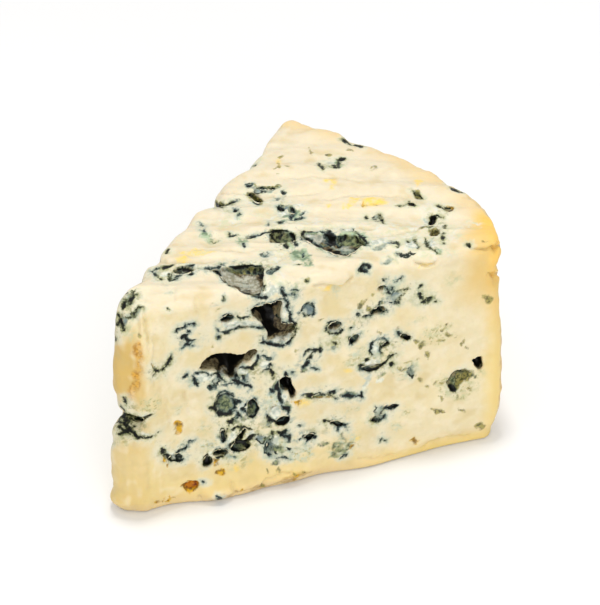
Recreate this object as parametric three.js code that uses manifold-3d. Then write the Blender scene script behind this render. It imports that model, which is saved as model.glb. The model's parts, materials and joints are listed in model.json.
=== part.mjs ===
// A wedge of creamy blue cheese, cut by hand from half the height of a round wheel.
//
// The wheel's centre is at the wedge's blunt nose and its rind is at the far, curved end. The wedge lies
// on the wheel's flat rind. The two long sides and the top are cuts, so their surfaces are torn by the
// knife, edged with soft folds and pitted with the caves in which the blue mould grew.
//
// Millimetres, +Z up. +X runs from the nose to the rind, and the origin is under the middle of the box
// that holds the wedge, on the surface it stands on. Places below are worked out from the wheel's centre,
// and the whole wedge is moved over the origin at the end.
import * as THREE from "three";
import { mergeVertices } from "three/addons/utils/BufferGeometryUtils.js";
import Module from "manifold-3d";

// ---------------------------------------------------------------- driving dimensions
const RADIUS = 114.5; // wheel's centre to rind
const HEIGHT = 71; // half the height of the wheel
const HALF_ANGLE = THREE.MathUtils.degToRad(24);
const ROUNDING = 4.5; // how far the knife's edges have slumped round
const SQUARENESS = { foot: 0.75, rind: 0.4, cut: 0.1 }; // 0 is a quarter circle, 1 a square corner
const NOSE_FRONT = 5.5; // where the front cut ends, short of the wheel's centre
const NOSE_BACK = { x: 1.7, y: 5.2 }; // where the back cut ends
const STROKE_ANGLE = THREE.MathUtils.degToRad(-42.7); // the way the wire was drawn over the top
const WHEEL_CENTRE = { x: -57.05, y: -0.8 }; // the wheel's centre, from the origin

// Quads along the wedge, across it and up it, and how many of them turn each rounded edge.
const GRID = { along: 30, across: 15, up: 18 };
const EDGE_STEPS = 2;

// ---------------------------------------------------------------- faces
// Each face has its own frame: a point of it, an axis to the right and one up as seen from outside, and
// the way out.
function faceFrame(origin, right, up) {
  const out = new THREE.Vector3().crossVectors(right, up);
  return { origin, right, up, out };
}

const Z = new THREE.Vector3(0, 0, 1);
const direction = (angle) => new THREE.Vector3(Math.cos(angle), Math.sin(angle), 0);

const rindFront = direction(-HALF_ANGLE).multiplyScalar(RADIUS);
const rindBack = direction(HALF_ANGLE).multiplyScalar(RADIUS);
const noseFront = direction(-HALF_ANGLE).multiplyScalar(NOSE_FRONT);
const noseBack = new THREE.Vector3(NOSE_BACK.x, NOSE_BACK.y, 0);

const front = faceFrame(new THREE.Vector3(), direction(-HALF_ANGLE), Z);
const back = faceFrame(rindBack, noseBack.clone().sub(rindBack).normalize(), Z);
const nose = faceFrame(noseBack, noseFront.clone().sub(noseBack).normalize(), Z);
const top = faceFrame(
  new THREE.Vector3(0, 0, HEIGHT),
  direction(STROKE_ANGLE),
  direction(STROKE_ANGLE + Math.PI / 2),
);
const rindFrame = (angle) =>
  faceFrame(direction(angle).multiplyScalar(RADIUS), direction(angle + Math.PI / 2), Z);

const onFace = (face, right, up, out = 0) =>
  face.origin
    .clone()
    .addScaledVector(face.right, right)
    .addScaledVector(face.up, up)
    .addScaledVector(face.out, out);

// ---------------------------------------------------------------- forms of the cut faces
// Lumps and dents: how far right and up on the face, how far they reach each way, and their height.
const LUMPS = [
  // the nose: an upper and a lower lobe with the notch of a vein between them
  { on: nose, right: 4, up: 50, wide: 9, tall: 14, height: 2.2 },
  { on: nose, right: 3, up: 18, wide: 9, tall: 13, height: 4.4 },
  { on: nose, right: 2, up: 32.4, wide: 10, tall: 2.2, height: -4.4 },
  { on: nose, right: 3, up: 44, wide: 9, tall: 7, height: 1.3 },
  { on: nose, right: 3, up: 28, wide: 9, tall: 2.6, height: 0.9 },
  { on: nose, right: 4, up: 0, wide: 10, tall: 8, height: 1.4 },
  { on: nose, right: -1, up: 0, wide: 4, tall: 4, height: 5.0 },
  { on: nose, right: 3, up: 71, wide: 9, tall: 7, height: -2.2 },
  // the upright crease beside the nose, and the shallow hollow behind it
  { on: front, right: 8, up: 54, wide: 2.2, tall: 16, height: 0.9 },
  { on: front, right: 12.5, up: 58, wide: 2.6, tall: 12, height: -0.5 },
  // flaps of the top that the wire dragged down over the front
  { on: front, right: 62, up: 68.5, wide: 7.5, tall: 3.2, height: 1.7 },
  { on: front, right: 92, up: 69, wide: 5, tall: 2.6, height: 1.2 },
  { on: front, right: 30, up: 69, wide: 16, tall: 4, height: 0.8 },
  // the foot, where the rind bellies out
  { on: front, right: 9, up: 1, wide: 8, tall: 6, height: -2.0 },
  { on: front, right: 14, up: 0, wide: 7, tall: 3, height: -1.6 },
  { on: front, right: 26, up: 3, wide: 3.4, tall: 3, height: 1.4 },
  { on: front, right: 29, up: 2, wide: 10, tall: 6, height: 2.6 },
  { on: front, right: 31, up: 6, wide: 2, tall: 4, height: -0.7 },
  { on: front, right: 36.5, up: 2.5, wide: 4, tall: 3, height: 1.0 },
  { on: front, right: 49, up: 3.5, wide: 9, tall: 4, height: 1.8 },
  { on: front, right: 57, up: 0, wide: 7, tall: 3, height: -1.8 },
  { on: front, right: 72, up: 0, wide: 8, tall: 3, height: 1.2 },
  { on: front, right: 99, up: 0, wide: 14, tall: 3.4, height: -1.8 },
  { on: front, right: 106, up: 2, wide: 16, tall: 6, height: -1.4 },
  // dents of the front's far end
  { on: front, right: 113, up: 67.5, wide: 5, tall: 2.4, height: -2.6 },
  { on: front, right: 113, up: 58, wide: 5, tall: 2.4, height: -2.6 },
  // the top's long fold and the lower ground in front of it
  { on: top, right: 50, up: 73.6, wide: 24, tall: 7, height: 0.9 },
  { on: top, right: 80, up: 62.6, wide: 14, tall: 6, height: 0.8 },
  { on: top, right: 76, up: 48.6, wide: 18, tall: 4, height: -0.7 },
  { on: top, right: 54, up: 50.6, wide: 16, tall: 4, height: -0.6 },
  { on: top, right: 58, up: 23.6, wide: 12, tall: 5, height: 0.9 },
  { on: top, right: 17, up: 11.6, wide: 11, tall: 6, height: 0.8 },
  // blocks of curd that stand out along the top's back edge, with slits between them
  { on: back, right: 2, up: 70, wide: 7, tall: 9, height: 2.6 },
  { on: back, right: 13, up: 71, wide: 5, tall: 10, height: 1.5 },
  { on: back, right: 31, up: 71, wide: 4, tall: 12, height: -1.8 },
  { on: back, right: 44, up: 71, wide: 5.5, tall: 12, height: 2.0 },
  { on: back, right: 51.4, up: 71, wide: 2.6, tall: 7, height: -1.8 },
  { on: back, right: 60.5, up: 71, wide: 4, tall: 8, height: 1.2 },
  { on: back, right: 69, up: 71, wide: 7, tall: 12, height: 1.2 },
  { on: back, right: 77.5, up: 71, wide: 4.5, tall: 8, height: 1.7 },
  { on: back, right: 86, up: 71, wide: 5, tall: 9, height: -1.0 },
  { on: back, right: 90.4, up: 71, wide: 2.4, tall: 6, height: 1.3 },
  { on: back, right: 95.5, up: 71, wide: 2.6, tall: 5, height: -1.2 },
  { on: back, right: 104, up: 71, wide: 3, tall: 6, height: 0.4 },
  // the back's belly, and its foot beside the nose
  { on: back, right: 60, up: 32, wide: 20, tall: 14, height: 1.2 },
  { on: back, right: 111, up: 0, wide: 10, tall: 8, height: 4.0 },
  { on: back, right: 111, up: 18, wide: 9, tall: 13, height: 1.6 },
];

// Dents and swellings of the rind, by the turn round the wheel in degrees.
const RIND_LUMPS = [
  // along its top edge
  { turn: 20, up: 68.5, wide: 6, tall: 9, height: 0.8 },
  { turn: 12.8, up: 69, wide: 3.5, tall: 8, height: -2.2 },
  { turn: 6.5, up: 68, wide: 7, tall: 9, height: -1.1 },
  { turn: 2, up: 62.5, wide: 13, tall: 16, height: 1.2 },
  { turn: -4.5, up: 69, wide: 4, tall: 8, height: 1.2 },
  { turn: -14, up: 64.5, wide: 9, tall: 14, height: 2.3 },
  // down its edge with the front
  { turn: -25, up: 62, wide: 9, tall: 14, height: -1.8 },
  { turn: -24, up: 72.5, wide: 8, tall: 2.4, height: 0.9 },
  { turn: -24, up: 69.4, wide: 8, tall: 1.6, height: -1.9 },
  { turn: -24, up: 65.4, wide: 8, tall: 2.4, height: 0.9 },
  { turn: -24, up: 60.2, wide: 8, tall: 2, height: -1.7 },
  { turn: -24, up: 26, wide: 8, tall: 16, height: 1.4 },
  { turn: -24, up: 12, wide: 8, tall: 8, height: 0.8 },
  { turn: -24, up: 0, wide: 12, tall: 5, height: -1.5 },
  // its belly
  { turn: -8, up: 30.5, wide: 16, tall: 15, height: 1.0 },
  { turn: 15, up: 32.5, wide: 14, tall: 12, height: -0.9 },
];

// A slow wave over the whole surface, made of a few crossed sines, between about -1 and 1.
function wave(p, length, seed) {
  const k = (2 * Math.PI) / length;
  return (
    Math.sin(k * (p.x + 0.6 * p.y) + seed) * 0.4 +
    Math.sin(k * 1.3 * (p.y - 0.5 * p.z) + 2.1 * seed) * 0.35 +
    Math.sin(k * 1.7 * (p.z + 0.4 * p.x) + 3.7 * seed) * 0.25
  );
}

// How far a point of the plain wedge moves along its normal.
function relief(point, normal) {
  let height = 0.45 * wave(point, 31, 1.3) + 0.3 * wave(point, 13, 4.1);
  for (const lump of LUMPS) {
    const facing = normal.dot(lump.on.out);
    if (facing <= 0) continue;
    const away = point.clone().sub(lump.on.origin);
    const right = (away.dot(lump.on.right) - lump.right) / lump.wide;
    const up = (away.dot(lump.on.up) - lump.up) / lump.tall;
    height += lump.height * facing * Math.exp(-(right * right) - up * up);
  }
  const turn = Math.atan2(point.y, point.x);
  for (const lump of RIND_LUMPS) {
    const facing = Math.max(0, normal.dot(direction(turn)));
    const right = (RADIUS * (turn - THREE.MathUtils.degToRad(lump.turn))) / lump.wide;
    const up = (point.z - lump.up) / lump.tall;
    height += lump.height * facing * Math.exp(-(right * right) - up * up);
  }
  // The top has low ridges along the wire's path.
  const across = point.dot(top.up);
  const along = point.dot(top.right);
  height += 0.35 * Math.max(0, normal.z) * Math.sin(across * 0.62 + 1.4 * Math.sin(along * 0.075));
  return height;
}

// ---------------------------------------------------------------- the plain wedge
// The centre of an upright edge's rounding, where the lines of two faces meet once both are moved in.
function roundingCentre(a, b) {
  const pointA = a.origin.clone().addScaledVector(a.out, -ROUNDING);
  const pointB = b.origin.clone().addScaledVector(b.out, -ROUNDING);
  const gap = pointB.sub(pointA);
  const cross = a.right.x * b.right.y - a.right.y * b.right.x;
  const distance = (gap.x * b.right.y - gap.y * b.right.x) / cross;
  return pointA.addScaledVector(a.right, distance);
}

// Where the line of a cut, moved in, meets the arc of the rind, moved in.
function rindCentre(face) {
  const start = face.origin.clone().addScaledVector(face.out, -ROUNDING);
  const along = start.dot(face.right);
  const reach = (RADIUS - ROUNDING) ** 2 - (start.lengthSq() - along * along);
  const sign = face === front ? 1 : -1;
  return start.addScaledVector(face.right, sign * Math.sqrt(reach) - along);
}

const core = {
  noseFront: roundingCentre(front, nose),
  noseBack: roundingCentre(back, nose),
  rindFront: rindCentre(front),
  rindBack: rindCentre(back),
};

// A point of the core in plan: along 0 is the nose and 1 the rind, across 0 the front and 1 the back.
function corePoint(along, across) {
  const frontPoint = core.noseFront.clone().lerp(core.rindFront, along);
  const backPoint = core.noseBack.clone().lerp(core.rindBack, along);
  const point = frontPoint.lerp(backPoint, across);
  const chord = core.rindFront.clone().lerp(core.rindBack, across);
  const bulge = (RADIUS - ROUNDING) / chord.length() - 1;
  return point.addScaledVector(chord, bulge * along ** 3);
}

// Splits a grid step into its place on the core, from 0 to 1, and how far it turns round an edge,
// from -1 to 1.
function splitStep(step, count) {
  const last = count - EDGE_STEPS;
  const place = THREE.MathUtils.clamp(step, EDGE_STEPS, last);
  return {
    place: (place - EDGE_STEPS) / (last - EDGE_STEPS),
    turn: Math.tan(((step - place) / EDGE_STEPS) * (Math.PI / 4)),
  };
}

// A box with a fine grid, each vertex of which is carried to its place on the rounded wedge and then
// moved out or in by the relief.
function plainWedge() {
  const box = new THREE.BoxGeometry(GRID.along, GRID.across, GRID.up, GRID.along, GRID.across, GRID.up);
  box.deleteAttribute("normal");
  box.deleteAttribute("uv");
  const geometry = mergeVertices(box);
  const position = geometry.attributes.position;
  for (let i = 0; i < position.count; i++) {
    const x = splitStep(Math.round(position.getX(i) + GRID.along / 2), GRID.along);
    const y = splitStep(Math.round(position.getY(i) + GRID.across / 2), GRID.across);
    const z = splitStep(Math.round(position.getZ(i) + GRID.up / 2), GRID.up);
    const point = corePoint(x.place, y.place);
    const outX = x.turn < 0 ? nose.out : point.clone().normalize();
    const outY = y.turn < 0 ? front.out : back.out;
    const sideways = Math.max(Math.abs(x.turn), Math.abs(y.turn));
    const normal = new THREE.Vector3()
      .addScaledVector(outX, Math.abs(x.turn))
      .addScaledVector(outY, Math.abs(y.turn))
      .setLength(sideways)
      .addScaledVector(Z, z.turn);
    const square = normal.length();
    normal.normalize();
    const squareness = z.turn < 0 ? SQUARENESS.foot : x.turn > 0 ? SQUARENESS.rind : SQUARENESS.cut;
    point.z = THREE.MathUtils.lerp(ROUNDING, HEIGHT - ROUNDING, z.place);
    point.addScaledVector(normal, ROUNDING * THREE.MathUtils.lerp(1, square, squareness));
    const height = relief(point, normal);
    // The flat rind that the wedge stands on stays flat: its edge only moves sideways.
    normal.z = Math.max(normal.z, 0);
    point.addScaledVector(normal, height);
    position.setXYZ(i, point.x, point.y, point.z);
  }
  return geometry;
}

// ---------------------------------------------------------------- caves
// Where the mould grew between the curds. Each has its place on its face, half its length, half its
// height, the tilt of its length in degrees, and its depth.
const CAVES = [
  // front: the two great caves, the upright one beside them, and the crack that runs from it
  { on: front, right: 41.5, up: 61.2, long: 4.3, tall: 3.7, tilt: -12, deep: 7.5, detail: 2 },
  { on: front, right: 46, up: 60.4, long: 2.4, tall: 4.8, tilt: 4, deep: 4.5, detail: 2 },
  { on: front, right: 45, up: 54.3, long: 4.2, tall: 3.3, tilt: 6, deep: 6, detail: 2 },
  { on: front, right: 30.6, up: 47.4, long: 8.4, tall: 3.3, tilt: 2, deep: 10, detail: 2 },
  { on: front, right: 38, up: 48.2, long: 2.6, tall: 1.7, tilt: 15, deep: 4.5, detail: 1 },
  { on: front, right: 48.2, up: 34.8, long: 2.6, tall: 5.2, tilt: -8, deep: 7, detail: 2 },
  { on: front, right: 60.5, up: 28.9, long: 10.5, tall: 0.8, tilt: -8, deep: 1.5, detail: 2 },
  // front: pockets
  { on: front, right: 31, up: 62.4, long: 2.3, tall: 1.3, tilt: 8, deep: 4, detail: 1 },
  { on: front, right: 35, up: 59, long: 6, tall: 1.2, tilt: -3, deep: 1.5, detail: 1 },
  { on: front, right: 29.8, up: 33.3, long: 3.2, tall: 3.8, tilt: 0, deep: 1.3, detail: 2 },
  { on: front, right: 37.7, up: 30, long: 2.1, tall: 3.3, tilt: 0, deep: 3.2, detail: 1 },
  { on: front, right: 46.7, up: 23.5, long: 2.2, tall: 1.6, tilt: 8, deep: 3.2, detail: 1 },
  { on: front, right: 44.3, up: 27.6, long: 2.2, tall: 2.4, tilt: 0, deep: 1.2, detail: 1 },
  { on: front, right: 34, up: 17.6, long: 3, tall: 2, tilt: -6, deep: 2.6, detail: 1 },
  { on: front, right: 34.2, up: 21.6, long: 3, tall: 1.1, tilt: 55, deep: 4, detail: 1 },
  { on: front, right: 28, up: 16.6, long: 2.5, tall: 1.5, tilt: -10, deep: 3.6, detail: 1 },
  { on: front, right: 24, up: 14.3, long: 1.6, tall: 2.2, tilt: 0, deep: 3, detail: 1 },
  { on: front, right: 14.8, up: 18, long: 3.2, tall: 1.2, tilt: -28, deep: 2, detail: 1 },
  { on: front, right: 54.6, up: 15.6, long: 1.7, tall: 1.3, tilt: 0, deep: 3, detail: 1 },
  { on: front, right: 19, up: 6.9, long: 2.2, tall: 1.6, tilt: 0, deep: 1.6, detail: 1 },
  { on: front, right: 75, up: 55.3, long: 2.7, tall: 1.3, tilt: 10, deep: 3.4, detail: 1 },
  { on: front, right: 62.3, up: 52.6, long: 2.3, tall: 2, tilt: 10, deep: 2.8, detail: 1 },
  { on: front, right: 68.3, up: 47.3, long: 1.9, tall: 1.6, tilt: 30, deep: 2.8, detail: 1 },
  { on: front, right: 83.6, up: 44.4, long: 1.9, tall: 1.2, tilt: -20, deep: 2.4, detail: 1 },
  { on: front, right: 73.6, up: 36.1, long: 4.2, tall: 1.2, tilt: 4, deep: 1.9, detail: 1 },
  { on: front, right: 75.3, up: 17.2, long: 1.8, tall: 1.4, tilt: 14, deep: 2, detail: 1 },
  { on: front, right: 63.3, up: 18.2, long: 2.6, tall: 1.1, tilt: -25, deep: 2.2, detail: 1 },
  { on: front, right: 100, up: 25.2, long: 4, tall: 3, tilt: 30, deep: 2.4, detail: 2 },
  { on: front, right: 106.4, up: 29.7, long: 1.7, tall: 2.3, tilt: 0, deep: 4.5, detail: 1 },
  // top: the long lens-shaped caves that the wire opened
  { on: top, right: 33.4, up: 17.8, long: 7.6, tall: 5.2, tilt: -25, deep: 4.4, detail: 2 },
  { on: top, right: 59.5, up: 35.8, long: 10, tall: 4.4, tilt: -20, deep: 4, detail: 2 },
  { on: top, right: 44.2, up: 37, long: 3.9, tall: 3.6, tilt: 0, deep: 2.8, detail: 2 },
  { on: top, right: 87.4, up: 41.5, long: 1.6, tall: 4, tilt: -8, deep: 3.4, detail: 1 },
  { on: top, right: 36.3, up: 58.3, long: 3.3, tall: 1.4, tilt: -50, deep: 3.2, detail: 1 },
  { on: top, right: 25, up: 55.6, long: 3, tall: 1.7, tilt: 6, deep: 2.8, detail: 1 },
  { on: top, right: 68.5, up: 56, long: 5.4, tall: 2.4, tilt: 8, deep: 0.8, detail: 1 },
  { on: top, right: 17, up: 21.6, long: 3.4, tall: 1.8, tilt: 15, deep: 2.2, detail: 1 },
  { on: top, right: 39, up: 64.8, long: 4.2, tall: 1.2, tilt: 0, deep: 1.5, detail: 1 },
  { on: top, right: 92, up: 53, long: 1.3, tall: 1.5, tilt: 0, deep: 2, detail: 1 },
  { on: top, right: 81, up: 55.3, long: 1.2, tall: 1.6, tilt: 0, deep: 2, detail: 1 },
  { on: top, right: 83.3, up: 61, long: 2.7, tall: 1.1, tilt: -62, deep: 1.8, detail: 1 },
  // the nose: the slit of its notch
  { on: nose, right: 4.2, up: 32.6, long: 4.4, tall: 1.3, tilt: -14, deep: 2.4, detail: 1 },
];

// The back cut has caves of the same kinds, set out by a rule: sizes drawn at random, and kept only
// where they stand clear of the edges and of each other.
const BACK_CAVES = { count: 11, seed: 7, margin: 9, clearance: 4.5, longest: 6.5, shortest: 1.8 };

function randomDraw(seed) {
  let state = seed;
  return () => {
    state = (Math.imul(state, 1664525) + 1013904223) >>> 0;
    return state / 2 ** 32;
  };
}

function backCaves() {
  const draw = randomDraw(BACK_CAVES.seed);
  const length = rindBack.distanceTo(noseBack);
  const caves = [];
  while (caves.length < BACK_CAVES.count) {
    const size = draw() ** 2.2;
    const long = THREE.MathUtils.lerp(BACK_CAVES.shortest, BACK_CAVES.longest, size);
    const cave = {
      on: back,
      right: THREE.MathUtils.lerp(BACK_CAVES.margin, length - 1.6 * BACK_CAVES.margin, draw()),
      up: THREE.MathUtils.lerp(BACK_CAVES.margin, HEIGHT - BACK_CAVES.margin, draw()),
      long,
      tall: long * THREE.MathUtils.lerp(0.35, 0.75, draw()),
      tilt: THREE.MathUtils.lerp(-25, 35, draw()),
      deep: 1.2 + 0.8 * long * draw(),
      detail: long > 4 ? 2 : 1,
    };
    const clear = caves.every(
      (other) =>
        Math.hypot(other.right - cave.right, other.up - cave.up) >
        other.long + cave.long + BACK_CAVES.clearance,
    );
    if (clear) caves.push(cave);
  }
  return caves;
}

// An uneven lens with its middle just inside the face, for cutting a cave.
function caveGeometry(cave, number) {
  const ball = new THREE.IcosahedronGeometry(1, cave.detail);
  ball.deleteAttribute("normal");
  ball.deleteAttribute("uv");
  const geometry = mergeVertices(ball);
  const position = geometry.attributes.position;
  const point = new THREE.Vector3();
  for (let i = 0; i < position.count; i++) {
    point.fromBufferAttribute(position, i);
    const rough = 1 + 0.3 * wave(point, 1.9, number * 1.7);
    position.setXYZ(i, point.x * rough, point.y * rough, point.z * rough);
  }
  const surface = relief(onFace(cave.on, cave.right, cave.up), cave.on.out);
  const basis = new THREE.Matrix4()
    .makeBasis(cave.on.right, cave.on.up, cave.on.out)
    .setPosition(onFace(cave.on, cave.right, cave.up, surface - 0.15 * cave.deep));
  return geometry
    .scale(cave.long, cave.tall, cave.deep)
    .rotateZ(THREE.MathUtils.degToRad(cave.tilt))
    .applyMatrix4(basis);
}

// ---------------------------------------------------------------- cutting
const wasm = await Module();
wasm.setup();

const solidOf = (geometry) =>
  new wasm.Manifold(
    new wasm.Mesh({
      numProp: 3,
      vertProperties: new Float32Array(geometry.attributes.position.array),
      triVerts: new Uint32Array(geometry.index.array),
    }),
  );

function geometryOf(solid) {
  const mesh = solid.getMesh();
  const geometry = new THREE.BufferGeometry();
  geometry.setAttribute("position", new THREE.BufferAttribute(mesh.vertProperties, 3));
  geometry.setIndex(new THREE.BufferAttribute(mesh.triVerts, 1));
  geometry.computeVertexNormals();
  return geometry;
}

let solid = solidOf(plainWedge());
[...CAVES, ...backCaves()].forEach((cave, number) => {
  solid = solid.subtract(solidOf(caveGeometry(cave, number)));
});

// ---------------------------------------------------------------- the part
const paste = new THREE.MeshStandardMaterial({ color: 0xf3e2b4, roughness: 0.45, metalness: 0 });
const wedge = new THREE.Mesh(geometryOf(solid), paste);
wedge.name = "cheese_wedge";
wedge.position.set(WHEEL_CENTRE.x, WHEEL_CENTRE.y, 0);

const part = new THREE.Group();
part.add(wedge);

export default part;
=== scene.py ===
import json
import math
import random

import bmesh
import bpy
import numpy as np
from mathutils import Matrix, Vector, noise
from mathutils.bvhtree import BVHTree

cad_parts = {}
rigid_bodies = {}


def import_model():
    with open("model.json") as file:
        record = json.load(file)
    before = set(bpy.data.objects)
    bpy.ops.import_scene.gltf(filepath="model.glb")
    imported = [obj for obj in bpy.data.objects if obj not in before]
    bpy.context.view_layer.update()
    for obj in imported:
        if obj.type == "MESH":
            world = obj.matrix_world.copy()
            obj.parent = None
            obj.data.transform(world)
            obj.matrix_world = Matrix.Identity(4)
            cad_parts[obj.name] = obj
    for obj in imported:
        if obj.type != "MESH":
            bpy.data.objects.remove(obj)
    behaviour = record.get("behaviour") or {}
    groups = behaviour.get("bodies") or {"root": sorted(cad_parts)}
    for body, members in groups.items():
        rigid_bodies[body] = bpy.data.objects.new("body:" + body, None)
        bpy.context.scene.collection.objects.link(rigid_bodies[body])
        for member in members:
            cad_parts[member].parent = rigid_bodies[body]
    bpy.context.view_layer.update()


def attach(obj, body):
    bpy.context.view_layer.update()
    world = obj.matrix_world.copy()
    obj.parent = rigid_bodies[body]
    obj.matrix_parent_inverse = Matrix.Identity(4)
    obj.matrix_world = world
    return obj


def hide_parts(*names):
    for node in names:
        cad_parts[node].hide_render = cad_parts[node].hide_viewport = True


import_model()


# ---------------------------------------------------------------- camera
# A long lens, looking down on the front cut with the nose at the left. The wedge stands a little below
# and to the right of the view's middle, so the camera is turned by that much and not shifted.
WHEEL_CENTRE = Vector((-0.05705, -0.0008, 0))
TURN = math.radians(-42.7)
TILT = math.radians(35)
DISTANCE = 0.6989
# The point aimed at: how far to the right of the wheel's centre, behind it and above it.
TARGET = (0.056, 0.0392, 0.036)
# The focal length, and how far the target stands from the view's middle, both by the view's height.
VIEW_PIXELS = 605
FOCUS = 2400 / VIEW_PIXELS
VIEW_OFFSET = (24 / VIEW_PIXELS, 33.5 / VIEW_PIXELS)
SENSOR_MM = 36

right = Vector((math.cos(TURN), math.sin(TURN), 0))
away = Vector((-math.sin(TURN), math.cos(TURN), 0))
ahead = away * math.cos(TILT) - Vector((0, 0, math.sin(TILT)))
upward = away * math.sin(TILT) + Vector((0, 0, math.cos(TILT)))
target = WHEEL_CENTRE + right * TARGET[0] + away * TARGET[1] + Vector((0, 0, TARGET[2]))
eye = target - ahead * DISTANCE
look = (ahead * FOCUS - right * VIEW_OFFSET[0] + upward * VIEW_OFFSET[1]).normalized()
side = (right - look * right.dot(look)).normalized()

camera_data = bpy.data.cameras.new("camera")
camera_data.sensor_fit = "AUTO"
camera_data.sensor_width = SENSOR_MM
camera_data.lens = SENSOR_MM * FOCUS
camera_data.clip_start = 0.01
camera_data.clip_end = 10
camera = bpy.data.objects.new("camera", camera_data)
bpy.context.collection.objects.link(camera)
turned = Matrix((side, side.cross(look), -look)).transposed().to_4x4()
camera.matrix_world = Matrix.Translation(eye) @ turned
bpy.context.scene.camera = camera


# ---------------------------------------------------------------- floor and light
# A plain white table under a white tent: light comes from everywhere. A small lamp straight above
# sharpens the relief of the top, and a large low one in front fills the cut side.
TENT_STRENGTH = 0.87
LAMP_WHITE = (1.0, 0.985, 0.96)
LAMP_TARGET = Vector((0, 0, 0.03))
FLOOR_WHITES = (0.78, 0.8)

world = bpy.data.worlds.new("tent")
world.use_nodes = True
tent = world.node_tree.nodes["Background"].inputs
tent["Color"].default_value = (1, 1, 1, 1)
tent["Strength"].default_value = TENT_STRENGTH
bpy.context.scene.world = world
bpy.context.scene.view_settings.view_transform = "Standard"
bpy.context.scene.view_settings.look = "None"


def lamp(name, place, size, power):
    data = bpy.data.lights.new(name, "AREA")
    data.shape = "DISK"
    data.size = size
    data.energy = power
    data.color = LAMP_WHITE
    obj = bpy.data.objects.new(name, data)
    bpy.context.collection.objects.link(obj)
    obj.location = place
    obj.rotation_euler = (LAMP_TARGET - obj.location).to_track_quat("-Z", "Y").to_euler()


lamp("over", away * 0.005 + Vector((0, 0, 0.9)), size=0.12, power=3.4)
lamp("fill", right * 0.15 - away * 0.85 + Vector((0, 0, 0.35)), size=0.6, power=3.6)

floor_mesh = bmesh.new()
bmesh.ops.create_grid(floor_mesh, x_segments=1, y_segments=1, size=4)
floor_data = bpy.data.meshes.new("floor")
floor_mesh.to_mesh(floor_data)
floor_mesh.free()
floor = bpy.data.objects.new("floor", floor_data)
bpy.context.collection.objects.link(floor)

floor_paint = bpy.data.materials.new("floor")
floor_paint.use_nodes = True
floor_nodes, floor_links = floor_paint.node_tree.nodes, floor_paint.node_tree.links
floor_shader = floor_nodes["Principled BSDF"].inputs
floor_shader["Roughness"].default_value = 0.9
floor_shader["Specular IOR Level"].default_value = 0.1
floor_grain = floor_nodes.new("ShaderNodeTexNoise")
floor_grain.inputs["Scale"].default_value = 3
floor_tone = floor_nodes.new("ShaderNodeValToRGB")
for element, white in zip(floor_tone.color_ramp.elements, FLOOR_WHITES):
    element.color = (white, white, white, 1)
floor_links.new(floor_grain.outputs["Fac"], floor_tone.inputs["Fac"])
floor_links.new(floor_tone.outputs["Color"], floor_shader["Base Color"])
floor_data.materials.append(floor_paint)


# ---------------------------------------------------------------- the wedge: its plain form
# A sector of a round cheese, half the wheel high, standing on the wheel's flat rind. It is shaped in
# millimetres from the wheel's centre: a finely divided block is carried onto the rounded sector, then
# swells and sinks where the knife and the paste's own weight have moved it.
RADIUS = 114.5
HEIGHT = 71.0
HALF_ANGLE = math.radians(24)
ROUNDING = 4.5
SQUARENESS_FOOT, SQUARENESS_RIND, SQUARENESS_CUT = 0.75, 0.4, 0.1
NOSE_FRONT = 5.5
NOSE_BACK = (1.7, 5.2)
STEPS_ALONG, STEPS_ACROSS, STEPS_UP, STEPS_ROUND = 124, 62, 78, 6
# Slow swellings all over: the height, the wavelength and the seed.
SWELLINGS = ((0.45, 31, 1.3), (0.3, 13, 4.1))
# Ridges across the top: their height, their pace, how far they bend and the pace of the bends.
RIDGE_HEIGHT, RIDGE_PACE, RIDGE_BEND, BEND_PACE = 0.35, 0.62, 1.4, 0.075

eye_mm = np.array(eye - WHEEL_CENTRE) * 1000


class Face:
    """A face of the wedge: a point on it, the way to the right and up seen from outside, and out."""

    def __init__(self, origin, right, up):
        self.origin = np.array(origin, float)
        self.right = np.array(right, float)
        self.up = np.array(up, float)
        self.out = np.cross(self.right, self.up)

    def flat(self, points):
        """How far right, up and below the face the points are."""
        offset = points - self.origin
        return offset @ self.right, offset @ self.up, -(offset @ self.out)

    def place(self, right, up, out=0.0):
        return self.origin + self.right * right + self.up * up + self.out * out

    def aimed(self, right, up, out=0.0):
        """The point out above the face on the line from the eye to its place."""
        spot = self.place(right, up)
        toward = eye_mm - spot
        return spot + toward * (out / (toward @ self.out))

    def seen(self, points):
        """Where on the face, right and up, the points stand for an eye at the camera's place."""
        sights = points - eye_mm
        reach = ((self.origin - eye_mm) @ self.out) / (sights @ self.out)
        right, up, _ = self.flat(eye_mm + sights * reach[:, None])
        return right, up


def heading(angle):
    return np.array((math.cos(angle), math.sin(angle), 0.0))


rind_front = heading(-HALF_ANGLE) * RADIUS
rind_back = heading(HALF_ANGLE) * RADIUS
nose_front = heading(-HALF_ANGLE) * NOSE_FRONT
nose_back = np.array((*NOSE_BACK, 0.0))


def unit(vector):
    return vector / np.linalg.norm(vector)


front = Face((0, 0, 0), heading(-HALF_ANGLE), (0, 0, 1))
back = Face(rind_back, unit(nose_back - rind_back), (0, 0, 1))
nose = Face(nose_back, unit(nose_front - nose_back), (0, 0, 1))
top = Face((0, 0, HEIGHT), heading(TURN), heading(TURN + math.pi / 2))

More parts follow.
